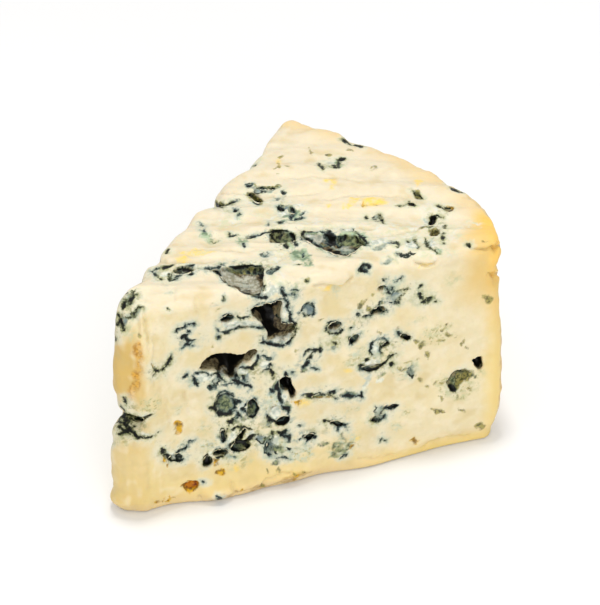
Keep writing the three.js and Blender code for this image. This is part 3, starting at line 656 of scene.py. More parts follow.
# Threads: the width and the points the thread runs through, to the right and up on the face.
FRONT_THREADS = [
    # round the nose: its top edge, the dark notch with the smile below it, and the crescent
    (0.9, (2.2, 71.6), (2.8, 73.4), (4.2, 74.6), (5.2, 76.8)),
    (0.6, (3.6, 73), (4.8, 74.2), (5.4, 75.6)), (0.5, (1.8, 72.4), (2.8, 75)),
    (0.3, (2.2, 69.3), (4.6, 68.8), (5, 70), (6, 71.3), (7.4, 71)),
    (0.7, (1.2, 69.2), (1, 68), (1.7, 66.6), (2, 65)), (0.4, (0.4, 70.4), (1.2, 69)),
    (0.6, (0.2, 67.4), (0.6, 66.8)), (0.6, (-0.8, 63.4), (-0.6, 62.4)), (0.5, (1, 42.4), (1.3, 40)),
    (0.8, (0, 38.6), (0.9, 36), (1.4, 33)), (0.7, (-0.2, 35), (0.4, 33), (1.2, 31)),
    (1.0, (1.4, 33), (2, 31), (3.2, 29.2), (4.5, 27.9), (7, 27.2)),
    (0.5, (5, 27.5), (8, 27.3), (10.4, 27.9)), (0.6, (-1, 33), (0, 31.4), (1.6, 30)),
    (0.6, (-1.6, 30.8), (0.6, 30.4)), (0.5, (1.4, 35.4), (3.6, 34)),
    (0.7, (3.8, 35.2), (5.4, 33.9), (6.6, 34), (7.9, 35.2)), (0.5, (2.4, 33), (3.4, 32)),
    (0.5, (-3.6, 28.4), (-3.4, 27.4)), (0.6, (1.6, 37), (2.4, 35.6)),
    # these two paint the shade at the end of the notch, over its black mould, as black threads
    (0.9, (-0.8, 39.4), (0, 37), (0.6, 34.6)), (1.0, (-2, 36.6), (-0.8, 34)),
    (0.8, (10, 49.4), (11.2, 48.9), (13, 49.8), (14.4, 52), (14.9, 53.6)),
    (0.4, (9.4, 51.2), (10.4, 49.6)), (0.35, (10.8, 49), (9.8, 47.4)),
    (0.9, (16.2, 61), (17, 61.8), (19, 61.8), (19.8, 62.8), (21.6, 62.6)),
    (1.2, (17.8, 58.6), (19.4, 59.3)), (0.8, (19, 58.8), (19.8, 57.4), (21, 56.8), (22.2, 57)),
    (0.6, (20.2, 60.6), (20.5, 60)), (0.3, (17.8, 55), (19, 56), (21.8, 55)),
    (0.9, (17.8, 45), (18.8, 46.5)), (0.8, (10.6, 21.4), (11.6, 20.6)),
    (1.1, (11.2, 20.4), (12.6, 19), (14, 17.6), (16.8, 16.6), (17.2, 17)),
    (1, (16.4, 17.4), (15.4, 18.8), (16, 20.4)), (0.8, (16, 20.2), (17.6, 20.8), (18.4, 22)),
    (0.5, (18.4, 22.2), (20.2, 22.9)), (0.5, (12, 21), (11, 22)),
    # the trough and the small hole over the wide cave
    (0.4, (28, 60), (28.4, 58.3), (30, 57.7), (32, 58.2), (35, 58.8), (38, 58.1), (41.6, 57)),
    (1.0, (29.4, 62), (30.4, 63.2), (32, 62.6)), (0.5, (33.4, 62.8), (35, 61.8), (37.4, 61.6)),
    (0.6, (28.2, 56.6), (28.6, 56)),
    # rims of the upper cave
    (0.4, (38, 63.8), (40, 64.9), (43.6, 64.5), (46.6, 65.6), (48.6, 65.2)),
    (1.0, (47, 69.4), (47.3, 68), (47.6, 66.8), (48.4, 65.6)),
    (0.5, (48.2, 65), (48.6, 62), (49.4, 59)), (1.2, (49, 58.6), (49.6, 57), (50.8, 55.4)),
    (0.9, (51, 55.4), (50.6, 52.6), (49, 50.4), (47, 49.8), (44.6, 50.6), (42.6, 51.4), (40.2, 51.6)),
    (0.5, (41.6, 51.8), (41.4, 54)), (0.8, (39.4, 70.2), (40.4, 68), (41.6, 66.8), (42.8, 67)),
    (0.7, (49.6, 68), (51.2, 67.6)), (0.6, (50, 66.6), (50.4, 65.4)),
    (1.2, (44.4, 63.6), (44.6, 60.6), (45.6, 58)), (0.8, (46.6, 57.4), (48.4, 56), (49.6, 56.4)),
    # rims and lips of the wide cave
    (0.8, (20.6, 44.8), (21, 43.4), (21.6, 41.8)),
    (0.5, (21.8, 45.8), (24, 45.6), (26, 44.2), (27.8, 44.8)),
    (0.7, (25.4, 41.2), (26.2, 39.8), (28, 39.6)), (1.0, (28, 44.6), (28.4, 42.6), (29.6, 41.4)),
    (1.3, (32, 41), (33.2, 40.2), (34.8, 38.8)), (0.7, (34.8, 38.8), (36.2, 38.2), (37.4, 37.3)),
    (1.1, (34.2, 44.8), (36, 44.4), (38, 43.4), (39, 44.6)),
    (0.6, (38.8, 44.6), (40.2, 46.4), (39.6, 48)), (1, (34.8, 42), (35.2, 40.6)),
    (0.6, (41, 47.4), (42.6, 46.4), (44, 46.2)),
    (0.7, (41, 42.2), (43.2, 42.4), (43.8, 41.2), (44, 39)), (0.5, (43.4, 44.4), (43, 42.6)),
    (0.5, (29.4, 40), (31.4, 39.6), (34, 39)), (0.6, (32.8, 43.2), (33.6, 41.4)),
    # round the needle hole
    (1.2, (27, 35), (26.8, 33), (27.6, 31)), (0.4, (27.2, 35.4), (28.4, 37), (30.4, 37.4), (32, 36)),
    (1.2, (27.6, 30.8), (29.4, 29.8), (31.2, 29.6), (32.4, 30.4)),
    (0.5, (32.6, 31.4), (32.9, 33), (32.2, 35.6)), (0.9, (25, 33), (26.2, 33.3)),
    (0.7, (33.2, 34.6), (34, 33.4)), (1.2, (35.4, 32), (37.4, 32.8), (38.6, 32)),
    (0.9, (38.9, 31.6), (39.2, 29.6), (38.4, 27.6), (36.8, 27.6)),
    (0.9, (34.4, 31), (35.6, 29.6), (36.4, 28)), (0.7, (33.2, 29.6), (34.4, 28)),
    (1.2, (30.2, 27), (31.4, 26), (30.6, 25.4)), (0.6, (31.6, 26.6), (32.4, 27.8)),
    # the upright cave, the ring below it, and the crack
    (0.9, (43.4, 36), (43.6, 34.4), (44.6, 33.8)), (1.3, (47.6, 40), (48, 38.6)),
    (1.0, (49.6, 40), (50.2, 39.4)), (1.4, (45.6, 37.4), (45.2, 35.6), (46, 34)),
    (0.8, (45.8, 33.6), (45.8, 31.6), (46.4, 30)),
    (0.9, (41.8, 27.4), (42.2, 25.6), (43.4, 24), (45.4, 23.2)),
    (1.6, (45, 23), (47, 22.6), (48.2, 24.6)), (1.2, (46.4, 28.6), (48, 27.4), (48.6, 25.4)),
    (0.3, (52, 30.6), (54, 31), (57, 30.8), (60, 30)), (0.9, (60.4, 30.4), (62.2, 30.2)),
    (0.4, (56.6, 30.6), (60, 29.4), (63.4, 27.4)), (0.9, (65, 27.6), (66.6, 28), (67.4, 27.2)),
    (0.6, (67.4, 27.4), (70, 26.8), (70.6, 28)), (0.5, (70.4, 27), (70.5, 25.6)),
    (1.0, (54, 30.4), (56, 30)),
    # below the crack
    (0.6, (43.6, 20), (43.6, 18)), (1.0, (45.4, 19.2), (46.6, 18.4), (48, 19.4)),
    (0.6, (46.8, 17.8), (48.4, 17.4), (48.4, 15.8)), (0.9, (44.6, 10.6), (46.4, 10)),
    (0.7, (46.4, 10.1), (48.4, 9)), (1.4, (42, 13.2), (42.6, 11.8)), (0.8, (41.6, 17), (41.8, 15)),
    (0.5, (48, 13.4), (48.4, 12.8)), (0.5, (51.4, 20.6), (52.2, 20.6)),
    (0.4, (51.6, 15.4), (52.4, 15.4)), (0.9, (52.8, 16.6), (54.6, 15.2), (53.8, 13.8)),
    (1.1, (54.4, 15.8), (56.4, 16.6)), (0.8, (55.6, 15), (56.4, 14.4)),
    # left of it: the butterfly of slits
    (1.3, (32.6, 19.4), (33.8, 21), (34.6, 22.6), (35.4, 24)),
    (0.7, (31.6, 23.6), (33.2, 24.5), (35.6, 24)), (0.7, (35.6, 23.6), (37.2, 22.2)),
    (1.0, (28.8, 24.8), (28.6, 22.6), (28.9, 20.2)), (0.5, (30.2, 24.2), (29.6, 22), (29.2, 20.4)),
    (0.5, (26.4, 18), (26.2, 16.4)), (1.5, (26.8, 17.6), (28.2, 17)),
    (0.9, (26.8, 15), (28.6, 14.8), (30, 15.8)), (0.6, (28.6, 17), (30, 16.2)),
    (1.2, (31.2, 18.4), (32, 16.8), (33.6, 15.8), (35.6, 16)),
    (1.2, (32, 19), (34.6, 18.6), (36.2, 17)), (1.3, (34.8, 18.6), (36.6, 19.2), (38, 20)),
    (0.6, (38, 20.1), (39.8, 19.8)), (1.8, (23.4, 13.6), (24.2, 15.4)),
    (1.0, (23.2, 15.8), (24.2, 16.6)), (0.5, (22.4, 7.4), (23.6, 7.2)), (0.3, (32, 14), (32.4, 13.4)),
    (0.6, (26.6, 0.6), (27.6, -0.2)),
    # middle of the face
    (0.7, (53.6, 44.6), (53.8, 45.8), (55.4, 46.6), (56.4, 46)),
    (0.9, (56, 46), (57.6, 45.4), (58, 46.4)), (0.5, (57.4, 45.6), (55.6, 44.4), (55, 42.6)),
    (1.2, (52.8, 40.8), (54.2, 41.2), (54.8, 42.4)), (0.4, (55, 40.2), (56.8, 39.4)),
    (0.6, (60, 53), (59.8, 51.6), (61, 50.4), (63, 50), (64.2, 51.2)),
    (0.7, (60.4, 54), (62, 54.4), (64.2, 53.6)), (0.8, (66.8, 51), (67.8, 50.6)),
    (0.5, (61.8, 47.6), (62.8, 46.6)), (0.9, (66.6, 48.4), (67.6, 46.2), (69.4, 48.2)),
    (0.7, (69.4, 55.8), (69.6, 54.4)), (0.9, (70.8, 54), (72.4, 54.2)),
    (0.8, (72.8, 54.4), (74.4, 55.8), (75, 56.6), (76.2, 55)), (0.7, (76.2, 55), (78.2, 54.4)),
    (0.4, (75.2, 57), (75.6, 58.4)), (0.7, (76.8, 65.8), (77.2, 65)),
    (0.9, (70.2, 70.6), (70.5, 69.6), (71.8, 69.4)), (0.5, (77.2, 63), (78.6, 60.8), (79, 60)),
    (0.5, (79.2, 62.4), (79.6, 60.6), (81.4, 60.2), (84.4, 60.5)),
    (0.7, (77.8, 57.6), (80, 56.8), (81.2, 57), (82.8, 59)),
    (0.3, (79.6, 64), (81.2, 64.2), (82.2, 65)), (0.9, (87.2, 60.6), (87.9, 61.4)),
    (1.0, (87.6, 58.4), (87.9, 57.2), (88.6, 56.8)), (0.8, (88, 54.8), (89.4, 55.4), (90.6, 56.8)),
    (0.7, (92.4, 54.8), (93.2, 54.8)), (0.5, (75, 45.6), (73.4, 44), (72.9, 42), (73.4, 40.6)),
    (0.3, (75, 45.6), (76.8, 45.4), (77.6, 44.4)), (1.2, (76.4, 42.6), (77.6, 43), (77.8, 43.8)),
    (0.4, (76.4, 42), (76.4, 40)), (0.9, (71.8, 39.2), (72.6, 39)),
    (1.2, (69.8, 37.4), (70.8, 36.2), (73, 35.3), (75.6, 35.8)), (1.0, (75.4, 36), (78, 36.8)),
    (0.7, (78.4, 37.4), (80, 38.6), (81, 38.8)), (1.0, (79.2, 35.6), (80, 35.2)),
    (0.8, (81.8, 46.6), (82.2, 45.2), (83.2, 44.6)), (1.4, (83, 44.4), (84.8, 44)),
    # lower right
    (0.5, (58.8, 20.9), (60, 20.2)), (1.0, (60, 20.2), (62, 19), (63, 18)),
    (1.1, (62.6, 18), (64.8, 18)), (0.5, (65, 18), (66.2, 17.4), (66, 15.8)),
    (0.5, (63.6, 17.4), (63.4, 15.6)), (1.0, (74, 17.6), (75.6, 16.4)),
    (0.7, (75.6, 16.4), (78.4, 17.8)), (1.2, (78, 20), (80, 20.3), (81.6, 20.3)),
    (0.8, (99.6, 28.3), (102.4, 28.1)), (1.7, (97.8, 24.4), (98.8, 22.8), (99.4, 21.4)),
    (0.4, (101.6, 72), (102.8, 71.8)), (0.8, (76.6, 8.6), (77.2, 9.6)), (0.6, (77.2, 9), (78.2, 8.6)),
    (0.9, (64.6, 5.6), (66.2, 5.8)),
]
TOP_THREADS = [
    # left end
    (0.6, (8.2, 20.4), (9.4, 22), (11, 22.2)), (0.9, (11, 22), (12.6, 22.6), (14, 23.2)),
    (0.6, (8.4, 20.2), (9.4, 18.6), (10.4, 17.6)), (0.8, (10.2, 17.4), (11.4, 16.8)),
    (0.6, (13.2, 19.4), (13.4, 17.4), (14.2, 15.8)),
    (1.0, (15.4, 20.6), (16.2, 22.2), (18, 22.6), (19.8, 22.8)),
    (1.2, (15, 20.4), (17, 21), (18.6, 20.8), (19.4, 19.2)), (0.5, (14.4, 16), (15.4, 18), (16.4, 19)),
    (0.7, (11.8, 29.6), (12.2, 31.6)), (0.4, (28.4, 8), (28.6, 6.4)), (0.3, (27, 3), (27.4, 2)),
    (0.3, (13.8, 2.4), (14.2, 1.4)), (0.3, (14, 9.4), (14.2, 9)),
    # rims of the lens-shaped cave
    (1.0, (22.8, 21.8), (24.4, 21.6), (26, 22)),
    (0.7, (24.4, 21), (26.6, 19.8), (28, 17.6), (28.8, 15), (30.2, 13), (31.6, 12)),
    (0.6, (26.6, 21.8), (28, 23.8), (28.4, 23.2)),
    (0.6, (30.4, 23), (32.4, 23.8), (36, 23.6), (38.4, 23)),
    (0.5, (38.4, 22.4), (38.6, 18.4), (38.2, 14.6), (37.8, 11.6)),
    (0.9, (36.8, 9.4), (37.6, 7.8), (39, 6.7), (40.2, 7.6)), (0.7, (38, 11.4), (37.6, 10.2)),
    (0.5, (40.4, 20), (42, 20.4), (43.6, 22.6)), (1.0, (35.2, 17.6), (36.4, 15.8)),
    (0.5, (36.2, 13), (37.2, 16), (37, 19)), (1.8, (31.6, 23), (34.6, 22.6), (38, 22.8)),
    (0.9, (33, 21), (33.4, 19.6)), (1.0, (35, 21), (35.6, 18.6)), (1.0, (37.2, 21), (37.4, 18.4)),
    (0.5, (39.6, 13), (40, 10.6)),
    # green ring and arc
    (1.6, (40.4, 40.4), (42.4, 41), (44.8, 40.6)),
    (1.0, (44.8, 40.6), (46.6, 39), (47.4, 36.8), (47, 34.8)),
    (1.0, (41, 39), (42, 36.6), (43.6, 34.2)), (0.9, (45, 33.6), (45.8, 32.6)),
    (0.8, (44, 39.4), (43.2, 37.6)), (0.7, (47.8, 36), (48.4, 34)),
    (0.8, (42.6, 38), (44.4, 37), (46, 37.8)),
    (0.8, (34.4, 37.4), (36, 38.8), (38.4, 39.6), (40, 40.6)),
    (0.9, (29.2, 40), (29.6, 38.8), (31.8, 39)), (0.6, (33.2, 34), (33.8, 32.8)),
    (0.5, (24.4, 36.4), (25, 35.8), (25.8, 36.4)), (0.3, (21.4, 42), (22, 41)),
    # the long cave: its rims, and the black band across it
    (0.8, (50, 38), (52, 36.2), (55, 33.4), (58, 31), (60, 29.2)),
    (0.9, (49.8, 38.6), (50.4, 40.8), (53, 41.6), (56.4, 41)),
    (2.8, (56.8, 40.6), (58.4, 37.6), (58, 34)), (2.0, (58, 35), (59.6, 32), (60.4, 30.6)),
    (0.8, (58.4, 38.4), (60.4, 37.6), (61, 35)), (0.6, (61, 42.8), (61.6, 42)),
    (0.7, (65, 40), (66.6, 37.4), (69, 33.6)), (0.9, (60.6, 29.2), (62.6, 29), (63.6, 30.6)),
    (0.9, (62, 38.8), (61.8, 36)), (0.7, (64.6, 38), (65.4, 35.6), (67.6, 33.2)),
    (0.5, (55.8, 36.4), (57, 34)),
    # left back
    (2.2, (24, 55.4), (25.6, 54.8)), (0.8, (25.4, 54.8), (27.6, 55.2), (28.8, 55.8)),
    (0.3, (20.4, 45.4), (21.8, 42.4), (22.4, 40.6)), (1.0, (28.8, 55.8), (29.8, 56.8), (31, 57.8)),
    (1.3, (30.2, 52.6), (30.8, 51.4)), (0.4, (31.6, 50.4), (31.2, 48.4)), (0.8, (34.6, 60.6), (35, 59)),
    (1.4, (36.6, 57), (37, 55.6)), (0.4, (42, 57.4), (42.8, 59.4)),
    (1.0, (42.8, 54.2), (43.2, 52.6), (44, 52.4)), (0.6, (43.4, 55), (45, 55.2)),
    (1.3, (46.2, 53.8), (47, 51.6)), (0.8, (46.8, 50.6), (46.2, 48.2)),
    (0.8, (46.8, 48.4), (48.6, 49), (49.6, 48.4)), (0.5, (49.4, 50), (50.6, 51.4)),
    (0.5, (43.4, 46.2), (44.4, 46)), (0.3, (40, 45), (40.2, 46)),
    (0.8, (33.4, 66.6), (34, 65), (34.8, 66.6)), (0.9, (35.6, 64.8), (38, 64.4), (40.6, 64), (42, 65)),
    (0.9, (43.8, 63), (44.2, 61.6), (45, 62)), (0.6, (50, 29), (50.2, 27.4)),
    (0.6, (48, 23), (49.4, 24)), (0.4, (51, 16.6), (51.2, 15.8)), (0.5, (40, 30), (39.4, 28)),
    # right half
    (0.8, (68, 48.4), (68.4, 47.4)), (0.5, (72, 50), (72.2, 47.6)), (0.9, (72.2, 47.4), (73, 45.8)),
    (1.2, (80.4, 57), (80.8, 55.8), (81.8, 54.6)), (0.4, (76.6, 54.4), (79.6, 54.6)),
    (0.6, (81.8, 63.2), (82.8, 61.4), (84.6, 58.8)), (0.7, (88.6, 55), (89.8, 54), (91, 53)),
    (0.9, (91.6, 54), (92, 52.2)), (1.0, (86, 43), (86.4, 45), (87.4, 47.4), (87.8, 49.4)),
    (0.7, (88.6, 49.6), (89.4, 48.6)), (0.7, (76.4, 35.6), (77, 34), (76.8, 32.8)),
    (0.4, (79.8, 36.4), (80.2, 36)), (0.5, (81.8, 36.4), (82.6, 34), (82, 32)),
    (0.6, (85, 37), (85.4, 34), (86.4, 32), (87.6, 30)), (0.6, (90.4, 44), (90.8, 42.6)),
    (0.4, (89.8, 40), (89.6, 35)), (1.4, (86.8, 49), (87, 46)),
    # near the rind
    (1.2, (60, 81), (62, 80.6)), (0.9, (60.2, 80), (60.6, 77.2)), (0.7, (57.8, 77.2), (60.4, 77)),
    (1.0, (54.6, 78.2), (55.4, 76), (55.4, 75)),
    (1.2, (61.6, 92.6), (63, 90.6), (65.4, 89.2), (67.4, 88)),
    (1.1, (93, 67), (93.8, 64), (95.4, 62.4), (96.4, 62)),
]

# Patches of each kind: how far right and up, half the length and height, and any tilt in degrees.
FRONT_PATCHES = {
    "pale": [
        (39.4, 61.4, 1.6, 2.8, 10), (46.4, 60.6, 2.6, 5), (48, 57.2, 2.6, 2.8), (46, 53, 3.6, 1),
        (24.8, 47.8, 4.6, 2.4, 24), (37.8, 48.6, 2.4, 1.7), (29, 44.6, 1.3, 3, -20),
        (101.2, 26, 4.4, 3.4, 30),
    ],
    "ringed": [(54.5, 60.3, 1.6, 1.7), (71.2, 70.2, 1.3, 1.0, 20), (30.2, 33.6, 2.3, 3.2, 10)],
    "chalk": [
        (47.7, 61.6, 0.8, 2.6), (34.5, 59.8, 6, 1.2, -4), (24, 44.2, 3.2, 1.4, -10),
        # the first, a narrow strip on a rib of the upper cave, is a painted highlight
        (34.6, 43.4, 1.6, 1.4, -20), (28.8, 44.2, 0.8, 2.4, -30), (46, 51.9, 4.2, 1, 4),
        (47.2, 31, 1.2, 1.5), (44.8, 27.2, 2.1, 2.2), (14.2, 19, 1.6, 0.8, -20), (24.9, 16.2, 0.8, 1),
        (31.6, 21.4, 1.1, 2.4, -20), (36.8, 20.8, 1, 1.3), (41, 68.8, 1.2, 1.8), (44, 68.6, 2, 2),
        (34.4, 32, 1.1, 1.6), (61.8, 51, 1.6, 0.8), (64.6, 16.4, 0.9, 1.3), (74.4, 43, 1.3, 1.9, 20),
        (73.5, 38, 2.4, 0.9), (42, 44, 1.4, 1.4), (71.8, 31.4, 0.9, 2.6, -30),
        (55.6, 45.8, 1.2, 0.5, -20), (5.6, 35.2, 1.2, 0.7), (6.4, 28.4, 1.2, 0.5, -10),
        (44.4, 16.6, 0.7, 1.4), (76.4, 31, 1.4, 1),
    ],
    "slate": [
        (34.6, 29.4, 1.8, 1.4), (43, 24.6, 1, 1.6), (40, 18.6, 1.6, 1, -30), (5.6, 70, 2, 0.9, 40),
        (3.4, 69.2, 1.4, 0.7), (3.2, 74, 1.2, 2.2, -30), (1.8, 67.6, 1, 2), (80.6, 58.6, 2.2, 1.2),
        (78.8, 62.4, 0.9, 1.5, 20), (27.4, 42, 1.2, 1), (76, 20, 1.4, 2), (75.6, 17.6, 1.8, 1.2),
        (86, 31.8, 0.9, 2.3, -10), (26.6, 40.4, 1.4, 0.8), (35.8, 41.2, 1.1, 1),
        (54.6, 43.6, 0.5, 1.6, -20), (42.4, 14.8, 1, 2.4, -8), (39, 19.2, 1.4, 0.9),
        (82.4, 72.4, 3, 0.6, -20), (62.6, 45, 0.8, 0.4), (21, 43.8, 0.8, 1.6), (33.4, 29.2, 1, 1.6),
        (43.6, 25.4, 1.2, 1.2), (43.2, 46.2, 1.4, 0.8), (78.6, 20.2, 1.2, 1), (43.6, 14, 1, 2),
        (90, 75, 1, 1), (35.4, 44, 1, 0.7), (17.6, 21, 1, 1, 30),
    ],
    "moss": [
        (29.6, 33.2, 2.3, 3.3, 10), (36, 27.2, 1.8, 0.8), (42.6, 18.4, 1, 1), (59.6, 12, 2.2, 0.8),
        (62.6, 7.4, 1.6, 0.6), (0.8, 34.4, 1.4, 3.6, -10), (1, 31, 2.4, 1.4), (48, 27.6, 0.9, 2.2),
        (45.6, 13.4, 2, 1.2, -20), (44.2, 9, 0.8, 1), (33.6, 17.4, 1.7, 1), (37.6, 30.2, 1.3, 2.1),
        (31.6, 26.6, 1.4, 1, 30), (100.2, 25.6, 3, 2.2, 30), (104.4, 26.4, 1.6, 1),
        (68.2, 47.4, 1.5, 1.5), (84, 44.2, 1.5, 1, -20), (63, 10.9, 1.8, 0.9, -20),
        (60.6, 11.4, 1, 0.5), (65, 13, 0.6, 2), (66.8, 10, 1.6, 0.7), (57, 29.6, 4, 0.6, -6),
        (66.6, 27.8, 2.4, 0.8, -10), (45, 36.6, 1.3, 2.6), (53.6, 40.6, 1.6, 0.7, 20),
        (89.6, 55.6, 1.8, 0.8, 20), (50.6, 67.4, 1, 1.4), (76.4, 33, 1.4, 0.5, 20), (77, 43.2, 1.4, 1),
        (46.8, 19, 1.8, 1), (76, 16.8, 1.6, 0.6), (84.6, 33, 1.8, 0.3), (64, 8.4, 2.4, 0.8),
    ],
    "olive": [
        (96, 45.4, 0.5, 0.8), (94.6, 43.8, 1.4, 0.4, 10), (97, 42.4, 0.7, 0.4), (94.8, 40.4, 0.7, 0.4),
        (86.8, 42.2, 0.9, 0.5, -30), (89, 40, 0.6, 0.7), (90.6, 36.8, 0.5, 1.4),
        (102, 26.4, 2.6, 1.8, 20), (100.4, 24, 1, 2), (101.6, 38.6, 0.4, 1.4, -10),
        (103, 36, 0.3, 1, 10), (84.4, 35.6, 1.2, 0.3), (108.4, 52.2, 1.3, 0.7, -30),
        (101.2, 25.2, 1.6, 1.2, 30), (94.8, 15.6, 2.6, 0.6, -34), (101.9, 13.8, 0.4, 1.4, 30),
        (107.6, 7, 1.2, 1.4, -40), (93.4, 25.4, 0.4, 0.8), (95.2, 25.8, 0.9, 0.4),
        (90.7, 25.2, 0.3, 0.3), (103.8, 21, 0.3, 0.5), (100.2, 19.4, 0.3, 0.9, 20),
        (95, 19.8, 0.3, 0.5), (88.6, 28.4, 0.5, 0.4), (87.2, 30, 0.5, 0.4), (87.6, 35.6, 0.9, 0.3),
        (82, 34.2, 0.3, 1.2, 30), (70.4, 58.4, 0.5, 1.8, -20), (72.4, 56.6, 0.3, 1.4, 10),
        (71.2, 60, 0.8, 0.3, 30), (73.8, 61.2, 0.5, 0.3), (57.8, 55.8, 1.2, 0.3, 15),
        (62.6, 47.2, 0.7, 0.5, -40), (50.9, 46.5, 0.3, 0.5), (54.2, 70.4, 0.4, 0.3),
        (30.1, 69.3, 0.3, 1), (26.6, 68.8, 0.2, 0.5), (28.3, 66, 0.3, 0.3), (28.4, 56.4, 0.6, 0.5),
        (27, 54, 0.5, 0.3), (14.6, 69, 0.4, 0.5), (5.8, 62.6, 0.5, 0.6), (99, 41.2, 0.3, 0.7),
        (107, 72.4, 0.7, 0.5), (45.6, 5.8, 0.3, 0.8), (40.4, 1.4, 0.5, 0.7), (53, 3.6, 0.8, 0.3),
        (50, 2.6, 0.6, 0.5), (42, 6.4, 0.3, 0.8), (47.4, 7.2, 0.6, 0.3), (102.6, 25, 1.2, 0.5),
        (76, 57.8, 0.4, 0.8), (81.6, 47.4, 0.3, 0.6), (75.4, 48, 0.3, 0.6),
    ],
    "amber": [
        (15.6, 28.6, 1.2, 2.2, -10), (19, 6.9, 2.5, 2, -14), (26.5, 13.4, 0.5, 1.6, 12),
        (27.6, 9, 0.8, 1.5), (12, 17.8, 0.3, 1.7, -6), (51, 2.2, 1.8, 0.4, 20),
        (50.6, 29, 1.2, 0.6, -30), (60, 28.7, 3, 0.3, -16), (67.9, 8.6, 0.5, 0.6, -40),
        (86.8, 6.1, 1.3, 0.4), (9.4, 51.2, 0.3, 1, 30), (9.8, 4.2, 1.2, 0.2, 42),
        (12.4, 3.4, 1.6, 0.2, 6), (12, 5, 0.2, 0.6), (33.4, 1.4, 0.3, 1),
    ],
    "gold": [
        (66.8, 36.8, 1.3, 0.5, -20), (69.2, 11.2, 0.8, 0.6), (32.5, 9.5, 0.4, 1),
        (50.6, 2.6, 4.6, 1.2, 8), (5.4, 57, 1.1, 3.8, 4), (5, 50, 1.2, 3), (4.4, 46, 1, 2.4, -10),
        # the thin streaks at 61 and 88.6 right, along the creases under the flaps, are painted shade
        (2.8, 43, 1.1, 3, -10), (40, 0.9, 6, 0.6, 4), (30, 0.6, 5, 0.5, 4), (61, 65.9, 4, 0.3, -8),
        (88.6, 67.4, 2.4, 0.3), (61, 28.8, 4, 0.6, -16), (53.4, 28.4, 3, 0.7, -10),
    ],
    "haze": [
        (33, 12, 4, 2.6), (52, 10, 4, 3), (98, 60.6, 2.2, 1.8), (24, 25.6, 1.6, 2.2, 20),
        (15.4, 34.6, 1.2, 0.8), (20, 43.4, 1.4, 1.6), (62.8, 64.4, 0.8, 1.4), (106.4, 25.8, 2, 1.6),
        (87, 49, 2.6, 1), (67.4, 22.4, 2, 1), (84.6, 17.8, 1.6, 1.4), (81.6, 13, 1.6, 1.2),
        (44, 31, 3, 5), (3, 64, 1.8, 2.8), (8, 38, 3, 3), (78.6, 71.4, 1.6, 1), (80, 62, 3.4, 4),
        (93, 43, 5, 3.4), (84, 33, 4, 3), (75, 18, 3, 3), (71, 40, 5, 4), (62, 47, 3, 3),
        (88, 57, 3, 3), (96, 25, 3, 3), (24, 20, 3, 2), (45, 14, 4, 4), (19.6, 56, 2.6, 1.4),
        (0, 29, 2.4, 2.4), (65, 10, 5, 4), (101, 22, 5, 4),
    ],
}
